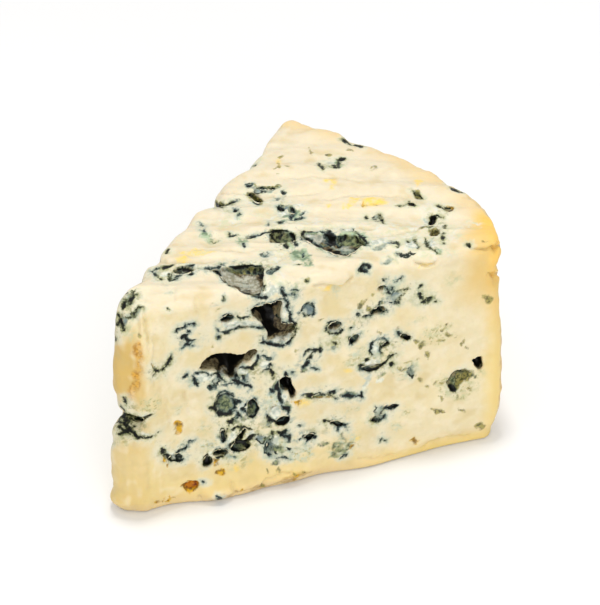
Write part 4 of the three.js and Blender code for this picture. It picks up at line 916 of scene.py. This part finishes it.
TOP_PATCHES = {
    "pale": [
        (31, 16, 4.4, 7, -30), (36.6, 14, 2.6, 5), (27, 20.6, 3, 1.2), (54, 36, 5.4, 5.4),
        (65, 36, 4, 4.6), (61, 31.4, 4.4, 1.8, -20), (44, 37, 4, 4), (87.4, 40.2, 1.4, 2.4),
    ],
    "chalk": [
        (30.6, 16.6, 4.4, 2.6, -50), (35.6, 11.2, 3, 1.6, 10), (36.4, 14.4, 1.6, 3, 10),
        (53.8, 37.6, 3, 2.8), (28.6, 21.6, 1.6, 0.8, 10), (54, 38.4, 2.4, 1.6, -14),
        (61.4, 32, 1.2, 0.7, 20), (34.6, 16.6, 1.2, 2.6, 10), (12, 19.6, 1.6, 1.6),
        (44.6, 50.6, 1.2, 1.6), (80.6, 34.4, 2.4, 2.4), (71, 35.4, 3, 1.4, 10), (85, 46, 1.2, 2),
        (58, 79, 1.4, 1), (62.6, 42, 1.4, 1), (48, 55, 2.4, 1, -30), (86.6, 34, 0.8, 2),
    ],
    "slate": [
        (33.4, 13.6, 3.6, 1.4, -30), (52.6, 36.4, 3, 1.6, -30), (51.4, 39.4, 1.4, 1.6),
        (16.8, 21.4, 1.8, 0.9, 20), (14, 17.6, 0.8, 1.8, -20), (37, 63, 3.6, 1, -4),
        (34, 65.4, 1.4, 1.6), (44.2, 62.2, 1.2, 1.4), (44.4, 53.6, 1.6, 1.4), (46.6, 49.4, 1, 2.2, -20),
        (71.4, 47.8, 1.4, 1.2), (63, 41.6, 1.6, 1.2), (81.4, 29.6, 1, 0.5, -10),
        (74.6, 35.2, 2.4, 0.9, 10), (72, 32.6, 2, 0.7, 30), (86, 35, 0.9, 2.2, -14),
        (41, 20.4, 1.4, 1.4), (44, 45.8, 0.8, 0.5), (40, 29.4, 1.4, 1), (74.2, 26, 1.4, 1.2),
        (62.4, 30, 1.6, 0.8, 20), (61.4, 31.6, 4.6, 1.6, -20),
    ],
    "moss": [
        (63.8, 36, 5, 4.4, -40), (56, 32.6, 2.4, 1.4, -30), (37.2, 17.6, 1.6, 5),
        (32.6, 21.4, 4.4, 1.2), (52.6, 40.4, 3, 1.2), (44.6, 37, 3, 3), (48.8, 28.6, 2.6, 3.2),
        (50.6, 26.8, 2.4, 2), (46.4, 33.4, 2, 0.7, -30), (33, 35.6, 1.6, 2.4),
        (23.4, 38, 2.8, 1.4, -58), (38.6, 64.6, 4, 0.8), (31.6, 48.8, 0.6, 1.4), (45, 47.6, 1.2, 1),
        (55.2, 40.2, 1.4, 0.7), (88, 31, 0.8, 1.2), (48, 49.6, 1.6, 1.2), (60, 78.6, 1.4, 1.6),
        (51, 24, 1.6, 0.8, -20),
    ],
    "olive": [
        (34.8, 20.8, 4, 1.4), (36.2, 58.4, 3.4, 1.4, -52), (25, 55.4, 2.2, 1.5), (39.4, 65, 4, 0.6),
        (83.3, 61, 2.4, 0.8, -62), (87.6, 40.4, 1.2, 2.4, -10), (84.6, 43.2, 1.6, 0.9, -10),
        (43, 82.8, 1.2, 0.8, 20), (42.7, 77.4, 0.5, 1.7), (57.2, 83.6, 0.9, 1),
        (52.2, 85.6, 0.4, 1.5, 10), (45.8, 77.8, 0.7, 0.4), (41.4, 75.8, 0.4, 0.8),
        (71, 75.2, 1, 0.4, 55), (63.4, 86, 1.4, 0.4), (42.4, 71.6, 0.6, 0.3), (6, 15.4, 0.6, 0.3),
    ],
    "gold": [
        (63.6, 55, 0.7, 2.6, -10), (65, 58.4, 2, 0.8, 20), (70.6, 57.4, 3.4, 2.2, 10),
        (68, 55.4, 0.6, 2.4), (83.6, 67, 0.8, 2.8), (56.8, 69.4, 0.6, 1.8, -10), (59, 68.6, 0.7, 0.9),
        (58, 65.2, 0.6, 1, -20), (61.4, 55, 0.3, 1.4), (57, 54.8, 0.5, 0.9), (21, 30, 5, 1.6),
        (16.6, 26.2, 2.2, 0.9), (42.6, 48.6, 0.4, 1.4), (92.4, 53.2, 1, 1.6), (42.8, 79.6, 0.6, 3),
        (40, 45.6, 0.6, 0.6),
    ],
    "amber": [(92.4, 53, 0.6, 1.2), (67.4, 54.6, 0.3, 1)],
    "haze": [
        (40, 50, 5, 2.4), (52, 46, 4, 2), (90, 30, 3, 2.4), (22, 30, 4, 1.6), (73, 35.4, 5, 2.6),
        (79, 33.4, 4.4, 4), (74.6, 25.8, 1.8, 1.4, 10), (36.4, 79.4, 1.6, 5, -12),
        (22, 39, 2.2, 2.4, -30), (58.4, 79, 3, 2.6), (44, 27.6, 4, 3.6), (86, 40, 5, 8),
        (42, 44, 2.4, 3), (85, 53, 6, 3), (87, 36, 3, 5), (93, 40, 2.4, 4), (48, 44, 3, 1.6),
        (42, 16, 3, 6), (56, 44, 5, 1.4), (28.6, 50.6, 2, 2.4), (48, 52, 3.6, 4), (98.6, 44.6, 3, 1.4),
        (36, 56, 5, 1.4), (29, 46, 4, 2.4), (66, 45, 6, 2), (76, 40, 9, 6), (45, 26, 4, 4),
        (84, 30, 5, 4),
    ],
}

# The back cut's marks are drawn at random: some round its caves, and a few threads and flecks loose.
THREADS_PER_CAVE, LOOSE_THREADS, FLECKS = 7, 26, 46
chance = random.Random(11)
BACK_THREADS = []
BACK_PATCHES = {kind: [] for kind in ("slate", "moss", "haze", "olive", "amber")}


def stepped(start, bearing, stride):
    return start[0] + stride * math.cos(bearing), start[1] + stride * math.sin(bearing)


def add_back_patch(kind, spot, long, tall, most_tilt):
    BACK_PATCHES[kind].append((*spot, long, tall, chance.uniform(-most_tilt, most_tilt)))


for at_right, at_up, long, tall, *_ in LENSES[back]:
    for _ in range(THREADS_PER_CAVE):
        spread = long * 0.8 + 2.5
        thread = [(chance.gauss(at_right, spread), chance.gauss(at_up, spread * 0.7))]
        bearing = math.radians(chance.gauss(20, 45))
        for _ in range(chance.randint(1, 3)):
            bearing += chance.gauss(0, 0.6)
            thread.append(stepped(thread[-1], bearing, chance.uniform(0.8, 2.2)))
        BACK_THREADS.append((chance.uniform(0.4, 1.1), *thread))
    for kind in ("slate", "moss", "moss", "haze", "haze"):
        size = chance.uniform(0.8, 2.4)
        spot = (chance.gauss(at_right, long + 2), chance.gauss(at_up, tall + 2))
        add_back_patch(kind, spot, size * 1.3, size * 0.8, 40)
for _ in range(LOOSE_THREADS):
    start = (chance.uniform(12, 98), chance.gauss(38, 15))
    bearing = math.radians(chance.gauss(20, 45))
    middle = stepped(start, bearing, chance.uniform(1.0, 2.6))
    width = chance.uniform(0.5, 1.2)
    end = (middle[0] + chance.gauss(1.4, 1), middle[1] + chance.gauss(0, 1.2))
    BACK_THREADS.append((width, start, middle, end))
    add_back_patch("haze", start, 2.4, 1.4, 40)
for _ in range(FLECKS):
    size = chance.uniform(0.3, 0.9)
    kind = chance.choice(("olive", "olive", "amber", "slate", "moss"))
    spot = (chance.uniform(6, 108), chance.uniform(6, 66))
    add_back_patch(kind, spot, size * 1.8, size, 50)

# The kinds of marks, and the distance at which a vertex stops minding one.
KINDS = ("ink", "slate", "chalk", "moss", "olive", "amber", "gold", "haze", "pale")
FAR = 3.0
# How near threads must be to each other for the paste between them to haze over.
CROWDING = 7.0
# How far below the plain surface threads and most kinds of patches still lie.
MARK_DEPTH = 3.2
# Half the width of the dark line round a ringed patch.
RING = 0.28
# How far past edge-on the surface may turn and still be marked: 40 of the 700 mm to the eye.
PAST_EDGE = 40
marks = {kind: np.full(len(spots), FAR) for kind in KINDS}
crowd = np.zeros(len(spots))


def thread_distance(right, up, width, corners):
    """The distance from a thread, negative inside it; the thread thins toward its two ends."""
    corners = np.array(corners, float)
    ways = np.diff(corners, axis=0)
    strides = np.linalg.norm(ways, axis=1)
    gap, passed = np.full(len(right), 4 * FAR), 0
    for start, way, stride in zip(corners, ways, strides):
        along = ((right - start[0]) * way[0] + (up - start[1]) * way[1]) / stride**2
        along = np.clip(along, 0, 1)
        off = np.hypot(right - start[0] - along * way[0], up - start[1] - along * way[1])
        share = (passed + along * stride) / strides.sum()
        fullness = 0.5 + 0.5 * np.sqrt(np.sin(math.pi * share).clip(0))
        gap = np.minimum(gap, off - width / 2 * fullness)
        passed += stride
    return gap


def patch_distance(right, up, long, tall, tilt=0):
    """About the distance from an ellipse round the origin, negative inside it."""
    turn = math.radians(tilt)
    along = right * math.cos(turn) + up * math.sin(turn)
    across = up * math.cos(turn) - right * math.sin(turn)
    scaled = np.hypot(along / long, across / tall)
    outside = np.hypot(along, across) * (1 - 1 / np.maximum(scaled, 1))
    return np.where(scaled < 1, (scaled - 1) * min(long, tall), outside)


def lower(kind, vertices, gap):
    marks[kind][vertices] = np.minimum(marks[kind][vertices], gap)


def lay_marks(face, threads, patches, thickness=4.0):
    """Notes the face's marks in the vertices that lie within thickness of it."""
    depth = face.flat(spots)[2]
    if face is back:
        (right, up, _), (patch_right, patch_up, _) = face.flat(wandered), face.flat(strayed)
        shown = directions @ back.out > 0
    else:
        (right, up), (patch_right, patch_up) = face.seen(wandered), face.seen(strayed)
        shown = (directions * (eye_mm - spots)).sum(1) > -PAST_EDGE
    deep_kinds = ("pale", "chalk", "slate") if face is top else ("pale", "chalk")
    near = np.flatnonzero((np.abs(depth) < thickness + 4) & shown)
    shallow = (below[near] < MARK_DEPTH) & (np.abs(depth[near]) < thickness)
    right, up, patch_right, patch_up = right[near], up[near], patch_right[near], patch_up[near]
    for width, *corners in threads:
        low, high = np.min(corners, axis=0) - CROWDING, np.max(corners, axis=0) + CROWDING
        beside = (right > low[0]) & (right < high[0]) & (up > low[1]) & (up < high[1])
        hit = np.flatnonzero(shallow & beside)
        gap = thread_distance(right[hit], up[hit], width, corners)
        lower("ink", near[hit], gap)
        crowd[near[hit]] += np.maximum(1 - gap / CROWDING, 0) ** 2
    for kind, (at_right, at_up, *form) in ((kind, patch) for kind in patches for patch in patches[kind]):
        across, along = patch_right - at_right, patch_up - at_up
        span = max(form[:2]) + FAR
        beside = (np.abs(across) < span) & (np.abs(along) < span)
        hit = np.flatnonzero(beside if kind in deep_kinds else beside & shallow)
        gap = patch_distance(across[hit], along[hit], *form)
        if kind == "ringed":
            lower("ink", near[hit], np.abs(gap) - RING)
        lower("slate" if kind == "ringed" else kind, near[hit], gap)


lay_marks(front, FRONT_THREADS, FRONT_PATCHES, 9.0)
lay_marks(top, TOP_THREADS, TOP_PATCHES)
lay_marks(back, BACK_THREADS, BACK_PATCHES)


# ---------------------------------------------------------------- the wedge: its fine form
# The knife drew the soft paste out in streaks across the top and down beside the nose, and left flaps
# and creases; the mould has eaten shallow grooves, and the rind is pitted where it dried on the boards.
# Creases: the width, the depth, and the points the crease runs through.
FRONT_CREASES = [
    (0.9, 0.7, (56.5, 68), (59, 67), (61, 66), (63, 65.7), (65.5, 66), (67.5, 68)),
    (0.8, 0.6, (86, 69), (87.5, 67.7), (90, 67.3), (92.5, 68)),
    (1.0, 0.8, (112, 69.6), (107, 69.5), (104, 70.5), (102.5, 71.5)),
    (1.0, 0.8, (113, 60), (110, 60), (108, 60.8)), (0.8, 0.5, (7.6, 70), (8.2, 62), (8.6, 55)),
    (0.7, 0.4, (9.8, 61), (10, 55), (9.6, 44)), (0.6, 0.4, (5.6, 70), (6, 62)),
    (0.5, 0.4, (16.5, 76), (16.8, 71)), (0.7, 0.6, (32.3, -1), (31.6, 3.5), (31, 5.5)),
    (0.6, 0.5, (22, -1), (21, 2.5)), (0.8, 0.6, (40, 1), (42, 3.5), (46, 4.2), (50, 4)),
    (0.6, 0.4, (70, 4), (75, 2.6), (83, 3)), (0.5, 0.4, (13, 30), (12.6, 36), (13.2, 41)),
    (0.5, 0.35, (22, 72), (22.4, 66)), (0.6, 0.4, (18, 40), (19, 33)),
    (0.7, 0.5, (90, 3), (97, 5), (104, 4)),
]
TOP_CREASES = [
    (0.8, 0.5, (81, 26), (83, 22.8), (87, 24)), (0.9, 0.5, (42, 24), (46, 29), (48, 33)),
    (0.9, 0.5, (10, 25.4), (20, 25), (30, 25.6)), (1.0, 0.5, (49, 42), (60, 43.6), (70, 42)),
    (0.9, 0.5, (72, 38), (80, 41), (84, 43.5)), (0.8, 0.4, (20, 32), (34, 31), (46, 32)),
    (0.7, 0.4, (30, 46), (44, 45), (60, 47)), (0.8, 0.4, (26, 62), (40, 60), (54, 61)),
    (0.7, 0.4, (56, 58), (70, 61), (80, 59)), (0.8, 0.4, (44, 70), (56, 71), (66, 69)),
]


def covered(distance, soft):
    """1 well inside a mark, 0 outside, with a soft edge."""
    amount = np.clip(0.5 - distance / (2 * soft), 0, 1)
    return amount * amount * (3 - 2 * amount)


def grain(where, stretch, shift):
    """Noise whose waves are as long as stretch says along each of where's three coordinates."""
    shift = Vector(shift)
    return np.array([noise.noise(Vector(p) + shift) for p in where / np.array(stretch)])


# How far in from the rind each spot lies; the rind is thinner at the foot, so height counts for more.
from_axis = np.hypot(spots[:, 0], spots[:, 1])
rind_nearness = np.minimum(RADIUS - from_axis, spots[:, 2] * 1.6 + 0.3)
on_rind = np.clip(1 - (rind_nearness - 0.5) / 1.5, 0, 1)

# Where the knife passed: on the plain surface and not in a cave. The streaks are strongest on the
# front half of the top, and the scrapes beside the nose.
turned_spots = np.stack((spots @ top.right, spots @ top.up, spots[:, 2]), 1)
open_cut = np.clip(1 - (below - 0.4) / 1.2, 0, 1)
facing_up = np.clip(directions[:, 2] * 2 - 0.8, 0, 1) * open_cut
drawn_out = facing_up * mix(1, 0.45, np.clip((turned_spots[:, 1] - 52) / 8, 0, 1))
front_right = front.flat(spots)[0]
scrape_band = np.exp(-(((front_right - 4) / 8) ** 2)) * (1 - facing_up) * open_cut
streaks = grain(turned_spots, (16, 1.1, 3), (0, 0, 0))
smears = grain(turned_spots, (11, 2.6, 4), (5, 5, 5))
scrapes = grain(np.stack((front_right, spots[:, 2], 0 * front_right), 1), (1.7, 14, 1), (0, 0, 3))
rind_grain = grain(spots, (2.6, 2.6, 2.6), (14, -14, 29.4))
rind_pits = np.clip(grain(spots, (3.4, 3.4, 3.4), (17, -17, 35.7)) - 0.25, 0, 1)

push = 0.3 * grain(spots, (6, 6, 6), (4, -4, 8.4))
push += 0.17 * grain(spots, (2.3, 2.3, 2.3), (9, -9, 18.9))
push += drawn_out * 0.34 * smears
push += scrape_band * 0.32 * scrapes
push += on_rind * (0.22 * rind_grain - 0.35 * rind_pits)
# The hollows of this relief are kept for painted shade in the paste's colour, and its rises for a
# painted highlight.
relief_shading = -push
push += drawn_out * (0.17 * streaks + 0.1 * smears)
for kind, depth, soft in (("ink", 0.44, 0.5), ("amber", 0.4, 0.5), ("slate", 0.16, 0.4)):
    push -= depth * covered(marks[kind], soft)
for face, creases in ((front, FRONT_CREASES), (top, TOP_CREASES)):
    on_face = (np.abs(face.flat(spots)[2]) < 6) & (below < 2)
    crease_right, crease_up = (seen[on_face] for seen in face.seen(wandered))
    for width, depth, *corners in creases:
        gap = thread_distance(crease_right, crease_up, width, corners)
        push[on_face] -= 1.6 * depth * covered(gap, 0.7)
        # each crease also gets painted shade in the paste's colour
        relief_shading[on_face] += 0.4 * depth * covered(gap, 0.5)
# The fine form dies out at the foot, which stays flat.
push *= np.clip((spots[:, 2] - 0.2) / 1.5, 0, 1)
spots += directions * push[:, None]
wedge_mesh.vertices.foreach_set("co", spots.ravel())
kept = {**marks, "deep": below, "rind": rind_nearness, "crowd": crowd, "relief_shading": relief_shading}
for name, values in kept.items():
    layer = wedge_mesh.attributes.new(name, "FLOAT", "POINT")
    layer.data.foreach_set("value", values.astype(np.float32))
wedge_mesh.transform(Matrix.Translation(WHEEL_CENTRE) @ Matrix.Scale(0.001, 4))
for polygon in wedge_mesh.polygons:
    polygon.use_smooth = True
wedge_mesh.update()


# ---------------------------------------------------------------- the wedge: its colours
# Warm cream paste, yellower toward the rind and the foot; blue-black and slate threads, moss-green
# velvet and a few amber crystals; and a straw-coloured rind with a grey bloom.
paint = bpy.data.materials.new("blue_cheese")
paint.use_nodes = True
paint_nodes, paint_links = paint.node_tree.nodes, paint.node_tree.links
paint_nodes.clear()


def plug(value, socket):
    """Links a node's output to the socket, or sets the socket to a plain value."""
    if isinstance(value, bpy.types.NodeSocket):
        paint_links.new(value, socket)
    elif value is not None:
        socket.default_value = value


def node(kind, *values, out=0, **settings):
    made = paint_nodes.new("ShaderNode" + kind)
    for name, value in settings.items():
        setattr(made, name, value)
    for socket, value in zip(made.inputs, values):
        plug(value, socket)
    return made.outputs[out]


def calc(operation, a, b=0.0):
    return node("Math", a, b, operation=operation)


def plus(a, b):
    return calc("ADD", a, b)


def times(a, b):
    return calc("MULTIPLY", a, b)


def fade(value, low, high, start=0.0, end=1.0):
    """start where value is below low, end where it is above high."""
    return node("MapRange", value, low, high, start, end, interpolation_type="SMOOTHSTEP", clamp=True)


def hue(*levels):
    """The linear colour of red, green and blue levels from 0 to 255."""
    return (*(((c / 255 + 0.055) / 1.055) ** 2.4 if c > 10 else c / 3295 for c in levels), 1)


def blend(amount, under, over):
    made = paint_nodes.new("ShaderNodeMix")
    made.data_type = "RGBA"
    for index, value in ((0, amount), (6, under), (7, over)):
        plug(value, made.inputs[index])
    return made.outputs[2]


def coated(colour, *coats):
    """The colour under a row of coats, each with its cover from 0 to 1 and its own colour."""
    for cover, coat in coats:
        colour = blend(cover, colour, coat)
    return colour


place = node("TexCoord", out=3)
# Toward the rind, toward the back cut and up, in metres from the origin.
xyz = paint_nodes.new("ShaderNodeSeparateXYZ")
plug(place, xyz.inputs[0])
from_nose, from_front, height_up = xyz.outputs


def speckle(wavelength_mm, detail=2.0, roughness=0.5):
    """Noise from 0 to 1 with the given wavelength."""
    return node("TexNoise", place, None, 1000 / wavelength_mm, detail, roughness)


def wobble(noise_value, amount):
    """The noise set about zero, this strong."""
    return times(calc("SUBTRACT", noise_value, 0.5), amount)


ragged = plus(wobble(speckle(1.8, 3, 0.6), 1.8), wobble(speckle(0.6, 2), 0.7))


def frayed(distance, amount=1.0):
    """The distance from a mark, unsettled to give the mark a ragged edge."""
    return plus(distance, times(ragged, amount))


def attributes(*names):
    return [node("Attribute", attribute_name=name, out=2) for name in names]


ink, slate, chalk, moss, olive, amber, gold, haze, pale = attributes(*KINDS)
deep, rind, crowding, relief_shading_level = attributes("deep", "rind", "crowd", "relief_shading")
ink_edge, slate_edge = frayed(ink), frayed(slate)
cloud, fine_cloud = speckle(16, 3), speckle(4, 3)
on_top = fade(height_up, 0.067, 0.07)
# Here and there in the middle of the wedge the mould is bluish instead of olive.
middle = times(fade(from_nose, -0.05, -0.038), fade(from_nose, 0.028, 0.014))
cool = times(fade(speckle(9, 2), 0.38, 0.52), middle)

# paste: cream with a fine curdy grain, yellower at the foot and the nose, with painted shade in the
# hollows and creases of the fine form and a painted highlight on its rises
near_foot = times(fade(height_up, 0.024, 0.004), fade(from_nose, 0.016, -0.02, 0, 0.75))
beside_nose = times(fade(from_nose, -0.044, -0.052, 0, 0.45), fade(height_up, 0.062, 0.054))
on_nose = times(fade(from_nose, -0.0505, -0.0545), fade(height_up, 0.02, 0.04, 0.28, 0.9))
surface = coated(
    hue(211, 197, 158),
    (fade(cloud, 0.35, 0.65), hue(203, 190, 154)),
    (fade(fine_cloud, 0.42, 0.7, 0, 0.7), hue(218, 207, 180)),
    (fade(speckle(7, 3), 0.46, 0.66, 0, 0.55), hue(202, 184, 134)),
    (fade(speckle(1.6, 4, 0.6), 0.5, 0.7, 0, 0.35), hue(192, 181, 144)),
    (fade(from_nose, 0.0, 0.03, 0, 0.4), hue(218, 206, 172)),
    (fade(height_up, 0.066, 0.0705, 0, 0.7), hue(209, 198, 175)),
    (near_foot, hue(212, 188, 122)),
    (fade(height_up, 0.009, 0.0, 0, 0.75), hue(219, 194, 134)),
    (beside_nose, hue(208, 186, 126)),
    (on_nose, hue(196, 164, 92)),
    (fade(relief_shading_level, 0.02, 0.3, 0, 0.5), hue(192, 172, 120)),
    (fade(relief_shading_level, -0.04, -0.3, 0, 0.42), hue(222, 212, 184)),
)

# toward the rind the paste turns golden, most of all at the far corner of the top
near_rind = plus(rind, wobble(cloud, 6))
rind_side = coated(
    hue(216, 190, 118),
    (fade(height_up, 0.03, 0.062), hue(218, 178, 92)),
    (fade(from_front, -0.037, -0.027), hue(212, 188, 140)),
)
corner = times(fade(near_rind, 19, 9), fade(height_up, 0.042, 0.062))
corner = times(corner, fade(from_front, -0.032, -0.040, 0, 0.95))
tip = times(fade(near_rind, 9, 2), fade(height_up, 0.052, 0.062, 0, 0.6))
tip = times(tip, fade(from_front, -0.03, -0.036))
surface = coated(
    surface,
    (fade(near_rind, 9, 1, 0, 0.9), rind_side),
    (corner, hue(208, 178, 112)),
    (tip, hue(228, 182, 78)),
)

# the rind: straw-coloured and dry, with a grey bloom
crust = coated(
    hue(210, 180, 118),
    (fade(speckle(2.4, 4, 0.6), 0.4, 0.65), hue(188, 158, 104)),
    (fade(speckle(14, 3, 0.6), 0.45, 0.6, 0, 0.7), hue(198, 178, 136)),
    (fade(speckle(6, 4, 0.6), 0.52, 0.72, 0, 0.6), hue(166, 150, 118)),
)
surface = blend(fade(plus(rind, wobble(speckle(3, 3), 1.6)), 1.1, 0.3), surface, crust)

# golden patches, duller at the foot and deeper on the nose
gold_cover = times(fade(frayed(gold), 1.0, -0.8), fade(speckle(1.5, 4, 0.6), 0.35, 0.6, 0.45, 0.92))
nose_gold = blend(fade(speckle(1, 3), 0.4, 0.6), hue(198, 148, 52), hue(156, 108, 26))
gold_tone = coated(
    hue(230, 196, 88),
    (fade(height_up, 0.007, 0.003), hue(156, 124, 76)),
    (fade(from_nose, -0.0495, -0.0515), nose_gold),
)
surface = blend(gold_cover, surface, gold_tone)

# round the mould: paler curd, a greenish haze, smoky mottling where threads crowd, dust and stains
curd = hue(206, 202, 178)
halo = fade(frayed(calc("MINIMUM", ink, slate), 1.5), 2.6, 0.3)
veil = times(fade(crowding, 0.2, 1.8), fade(speckle(5, 4, 0.6), 0.36, 0.6, 0.1, 0.8))
milky = blend(fade(speckle(3, 3), 0.42, 0.6), hue(191, 193, 160), hue(206, 206, 194))
tint = coated(hue(180, 180, 142), (cool, hue(174, 184, 164)), (on_top, milky))
haze_cover = fade(frayed(haze, 1.8), 1.4, -1.4)
smoke = times(fade(crowding, 0.6, 2.6), fade(speckle(1.9, 4, 0.65), 0.48, 0.66, 0, 0.8))
dust = times(fade(crowding, 0.5, 2.0), fade(speckle(1.1, 3, 0.6), 0.6, 0.7))
crumbs = times(haze_cover, fade(speckle(1.2, 3, 0.6), 0.54, 0.64, 0, 0.7))
stain = fade(frayed(calc("MINIMUM", ink, plus(slate, 0.3)), 1.6), 1.9, 0.1)
surface = coated(
    surface,
    (times(halo, fade(fine_cloud, 0.3, 0.6, 0.4, 0.9)), curd),
    (veil, curd),
    (times(haze_cover, fade(speckle(1.7, 4, 0.7), 0.42, 0.62, 0.12, 0.85)), tint),
    (smoke, blend(cool, hue(140, 140, 100), hue(138, 150, 140))),
    (times(dust, fade(speckle(5, 2), 0.42, 0.6, 0, 0.7)), hue(98, 102, 72)),
    (times(crumbs, fade(height_up, 0.058, 0.05)), hue(150, 144, 92)),
    (
        times(stain, fade(speckle(2.7, 3), 0.4, 0.62, 0.1, 0.55)),
        blend(cool, hue(158, 160, 118), hue(140, 158, 146)),
    ),
)

# cave walls: grey-brown and ribbed near the mouth; further in, painted shade darkens them and then
# paints them black, and on pale walls the painted black starts deeper
rib_place = node("Mapping", place, None, (0.2, 0, 0.5), (1.0, 1.0, 0.35))
rib = node("TexNoise", rib_place, None, 1100, 3, 0.6)
deeper_shade = fade(deep, 1.0, 3.6)
wall_ridge = blend(deeper_shade, hue(156, 146, 112), hue(116, 104, 76))
wall_groove = blend(deeper_shade, hue(86, 78, 54), hue(58, 48, 32))
shade_black_depth = plus(times(fade(pale, 0.4, -0.6), 5.0), 2.0)
shade_black = fade(calc("SUBTRACT", frayed(deep, 1.2), shade_black_depth), -1.2, 0.6)
wall = coated(wall_ridge, (fade(rib, 0.38, 0.62), wall_groove), (shade_black, hue(10, 9, 6)))

# slate, here and there with dark rims, and chalky curd, which painted shade darkens inside the caves
slate_tone = coated(
    hue(140, 150, 134),
    (fade(speckle(1.1, 3), 0.38, 0.62), hue(84, 98, 88)),
    (fade(speckle(3.4, 2), 0.52, 0.62, 0, 0.7), hue(88, 110, 122)),
    (fade(speckle(2.2, 2), 0.48, 0.66, 0, 0.85), hue(182, 188, 170)),
)
rim = calc("SUBTRACT", calc("ABSOLUTE", plus(slate_edge, 0.1)), 0.3)
rim_cover = times(fade(rim, 0.25, -0.15), fade(speckle(3.1, 2), 0.5, 0.58))
shaded_chalk = blend(fade(rib, 0.4, 0.6), hue(186, 185, 168), hue(148, 145, 124))
chalk_tone = coated(
    hue(212, 213, 198),
    (fade(speckle(1.4, 3), 0.4, 0.6), hue(170, 178, 166)),
    (fade(deep, 1.4, 3.2), shaded_chalk),
)

# moss, which is fresher on the top, and olive
fresh_moss = blend(fade(speckle(2.6, 3), 0.4, 0.62), hue(160, 178, 146), hue(92, 116, 88))
moss_tone = coated(
    hue(128, 136, 96),
    (fade(speckle(1.2, 3), 0.4, 0.6), hue(52, 66, 46)),
    (times(on_top, fade(deep, 1.2, 0.6)), fresh_moss),
)
olive_tone = blend(fade(speckle(0.9, 2), 0.4, 0.6), hue(146, 138, 76), hue(72, 72, 36))

# amber, which is redder in the pits
pit_amber = blend(fade(speckle(1.4, 3), 0.42, 0.58), hue(184, 112, 8), hue(112, 44, 0))
amber_tone = coated(
    hue(200, 154, 0),
    (fade(speckle(1.3, 3), 0.4, 0.6), hue(120, 86, 0)),
    (fade(deep, 0.5, 1.3), pit_amber),
)

# ink, which thins out through olive or slate
fringe = blend(cool, hue(112, 116, 74), hue(88, 106, 100))
thin_ink = blend(cool, hue(54, 58, 36), hue(46, 62, 60))
ink_tone = blend(fade(ink_edge, 0.1, -0.35), thin_ink, hue(7, 9, 7))

surface = coated(
    surface,
    (fade(frayed(deep), 0.6, 1.3), wall),
    (fade(slate_edge, 0.5, -0.5, 0, 0.92), slate_tone),
    (rim_cover, hue(30, 38, 30)),
    (fade(frayed(chalk, 1.4), 0.6, -0.6, 0, 0.92), chalk_tone),
    (fade(frayed(moss, 2), 0.7, -0.8, 0, 0.92), moss_tone),
    (fade(frayed(olive), 0.5, -0.3, 0, 0.9), olive_tone),
    (fade(frayed(amber), 0.5, -0.3, 0, 0.94), amber_tone),
    (fade(frayed(ink, 1.3), 0.7, 0.0, 0, 0.65), fringe),
    (fade(ink_edge, 0.3, -0.12), ink_tone),
)

# a fine grain, moist and dull by turns, and a faint glow from within
paint_shader = paint_nodes.new("ShaderNodeBsdfPrincipled")
for name, value in {
    "Base Color": surface,
    "Roughness": fade(fine_cloud, 0.3, 0.7, 0.36, 0.55),
    "Normal": node("Bump", 0.35, 0.00025, None, plus(times(speckle(0.7, 3), 0.6), speckle(2.2, 2))),
    "Specular IOR Level": 0.18,
    "Subsurface Weight": 0.25,
    "Subsurface Scale": 0.003,
    "Subsurface Radius": (1.0, 0.6, 0.3),
}.items():
    plug(value, paint_shader.inputs[name])
paint_output = paint_nodes.new("ShaderNodeOutputMaterial")
plug(paint_shader.outputs[0], paint_output.inputs["Surface"])
wedge_mesh.materials.clear()
wedge_mesh.materials.append(paint)

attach(wedge, "root")
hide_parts("cheese_wedge")
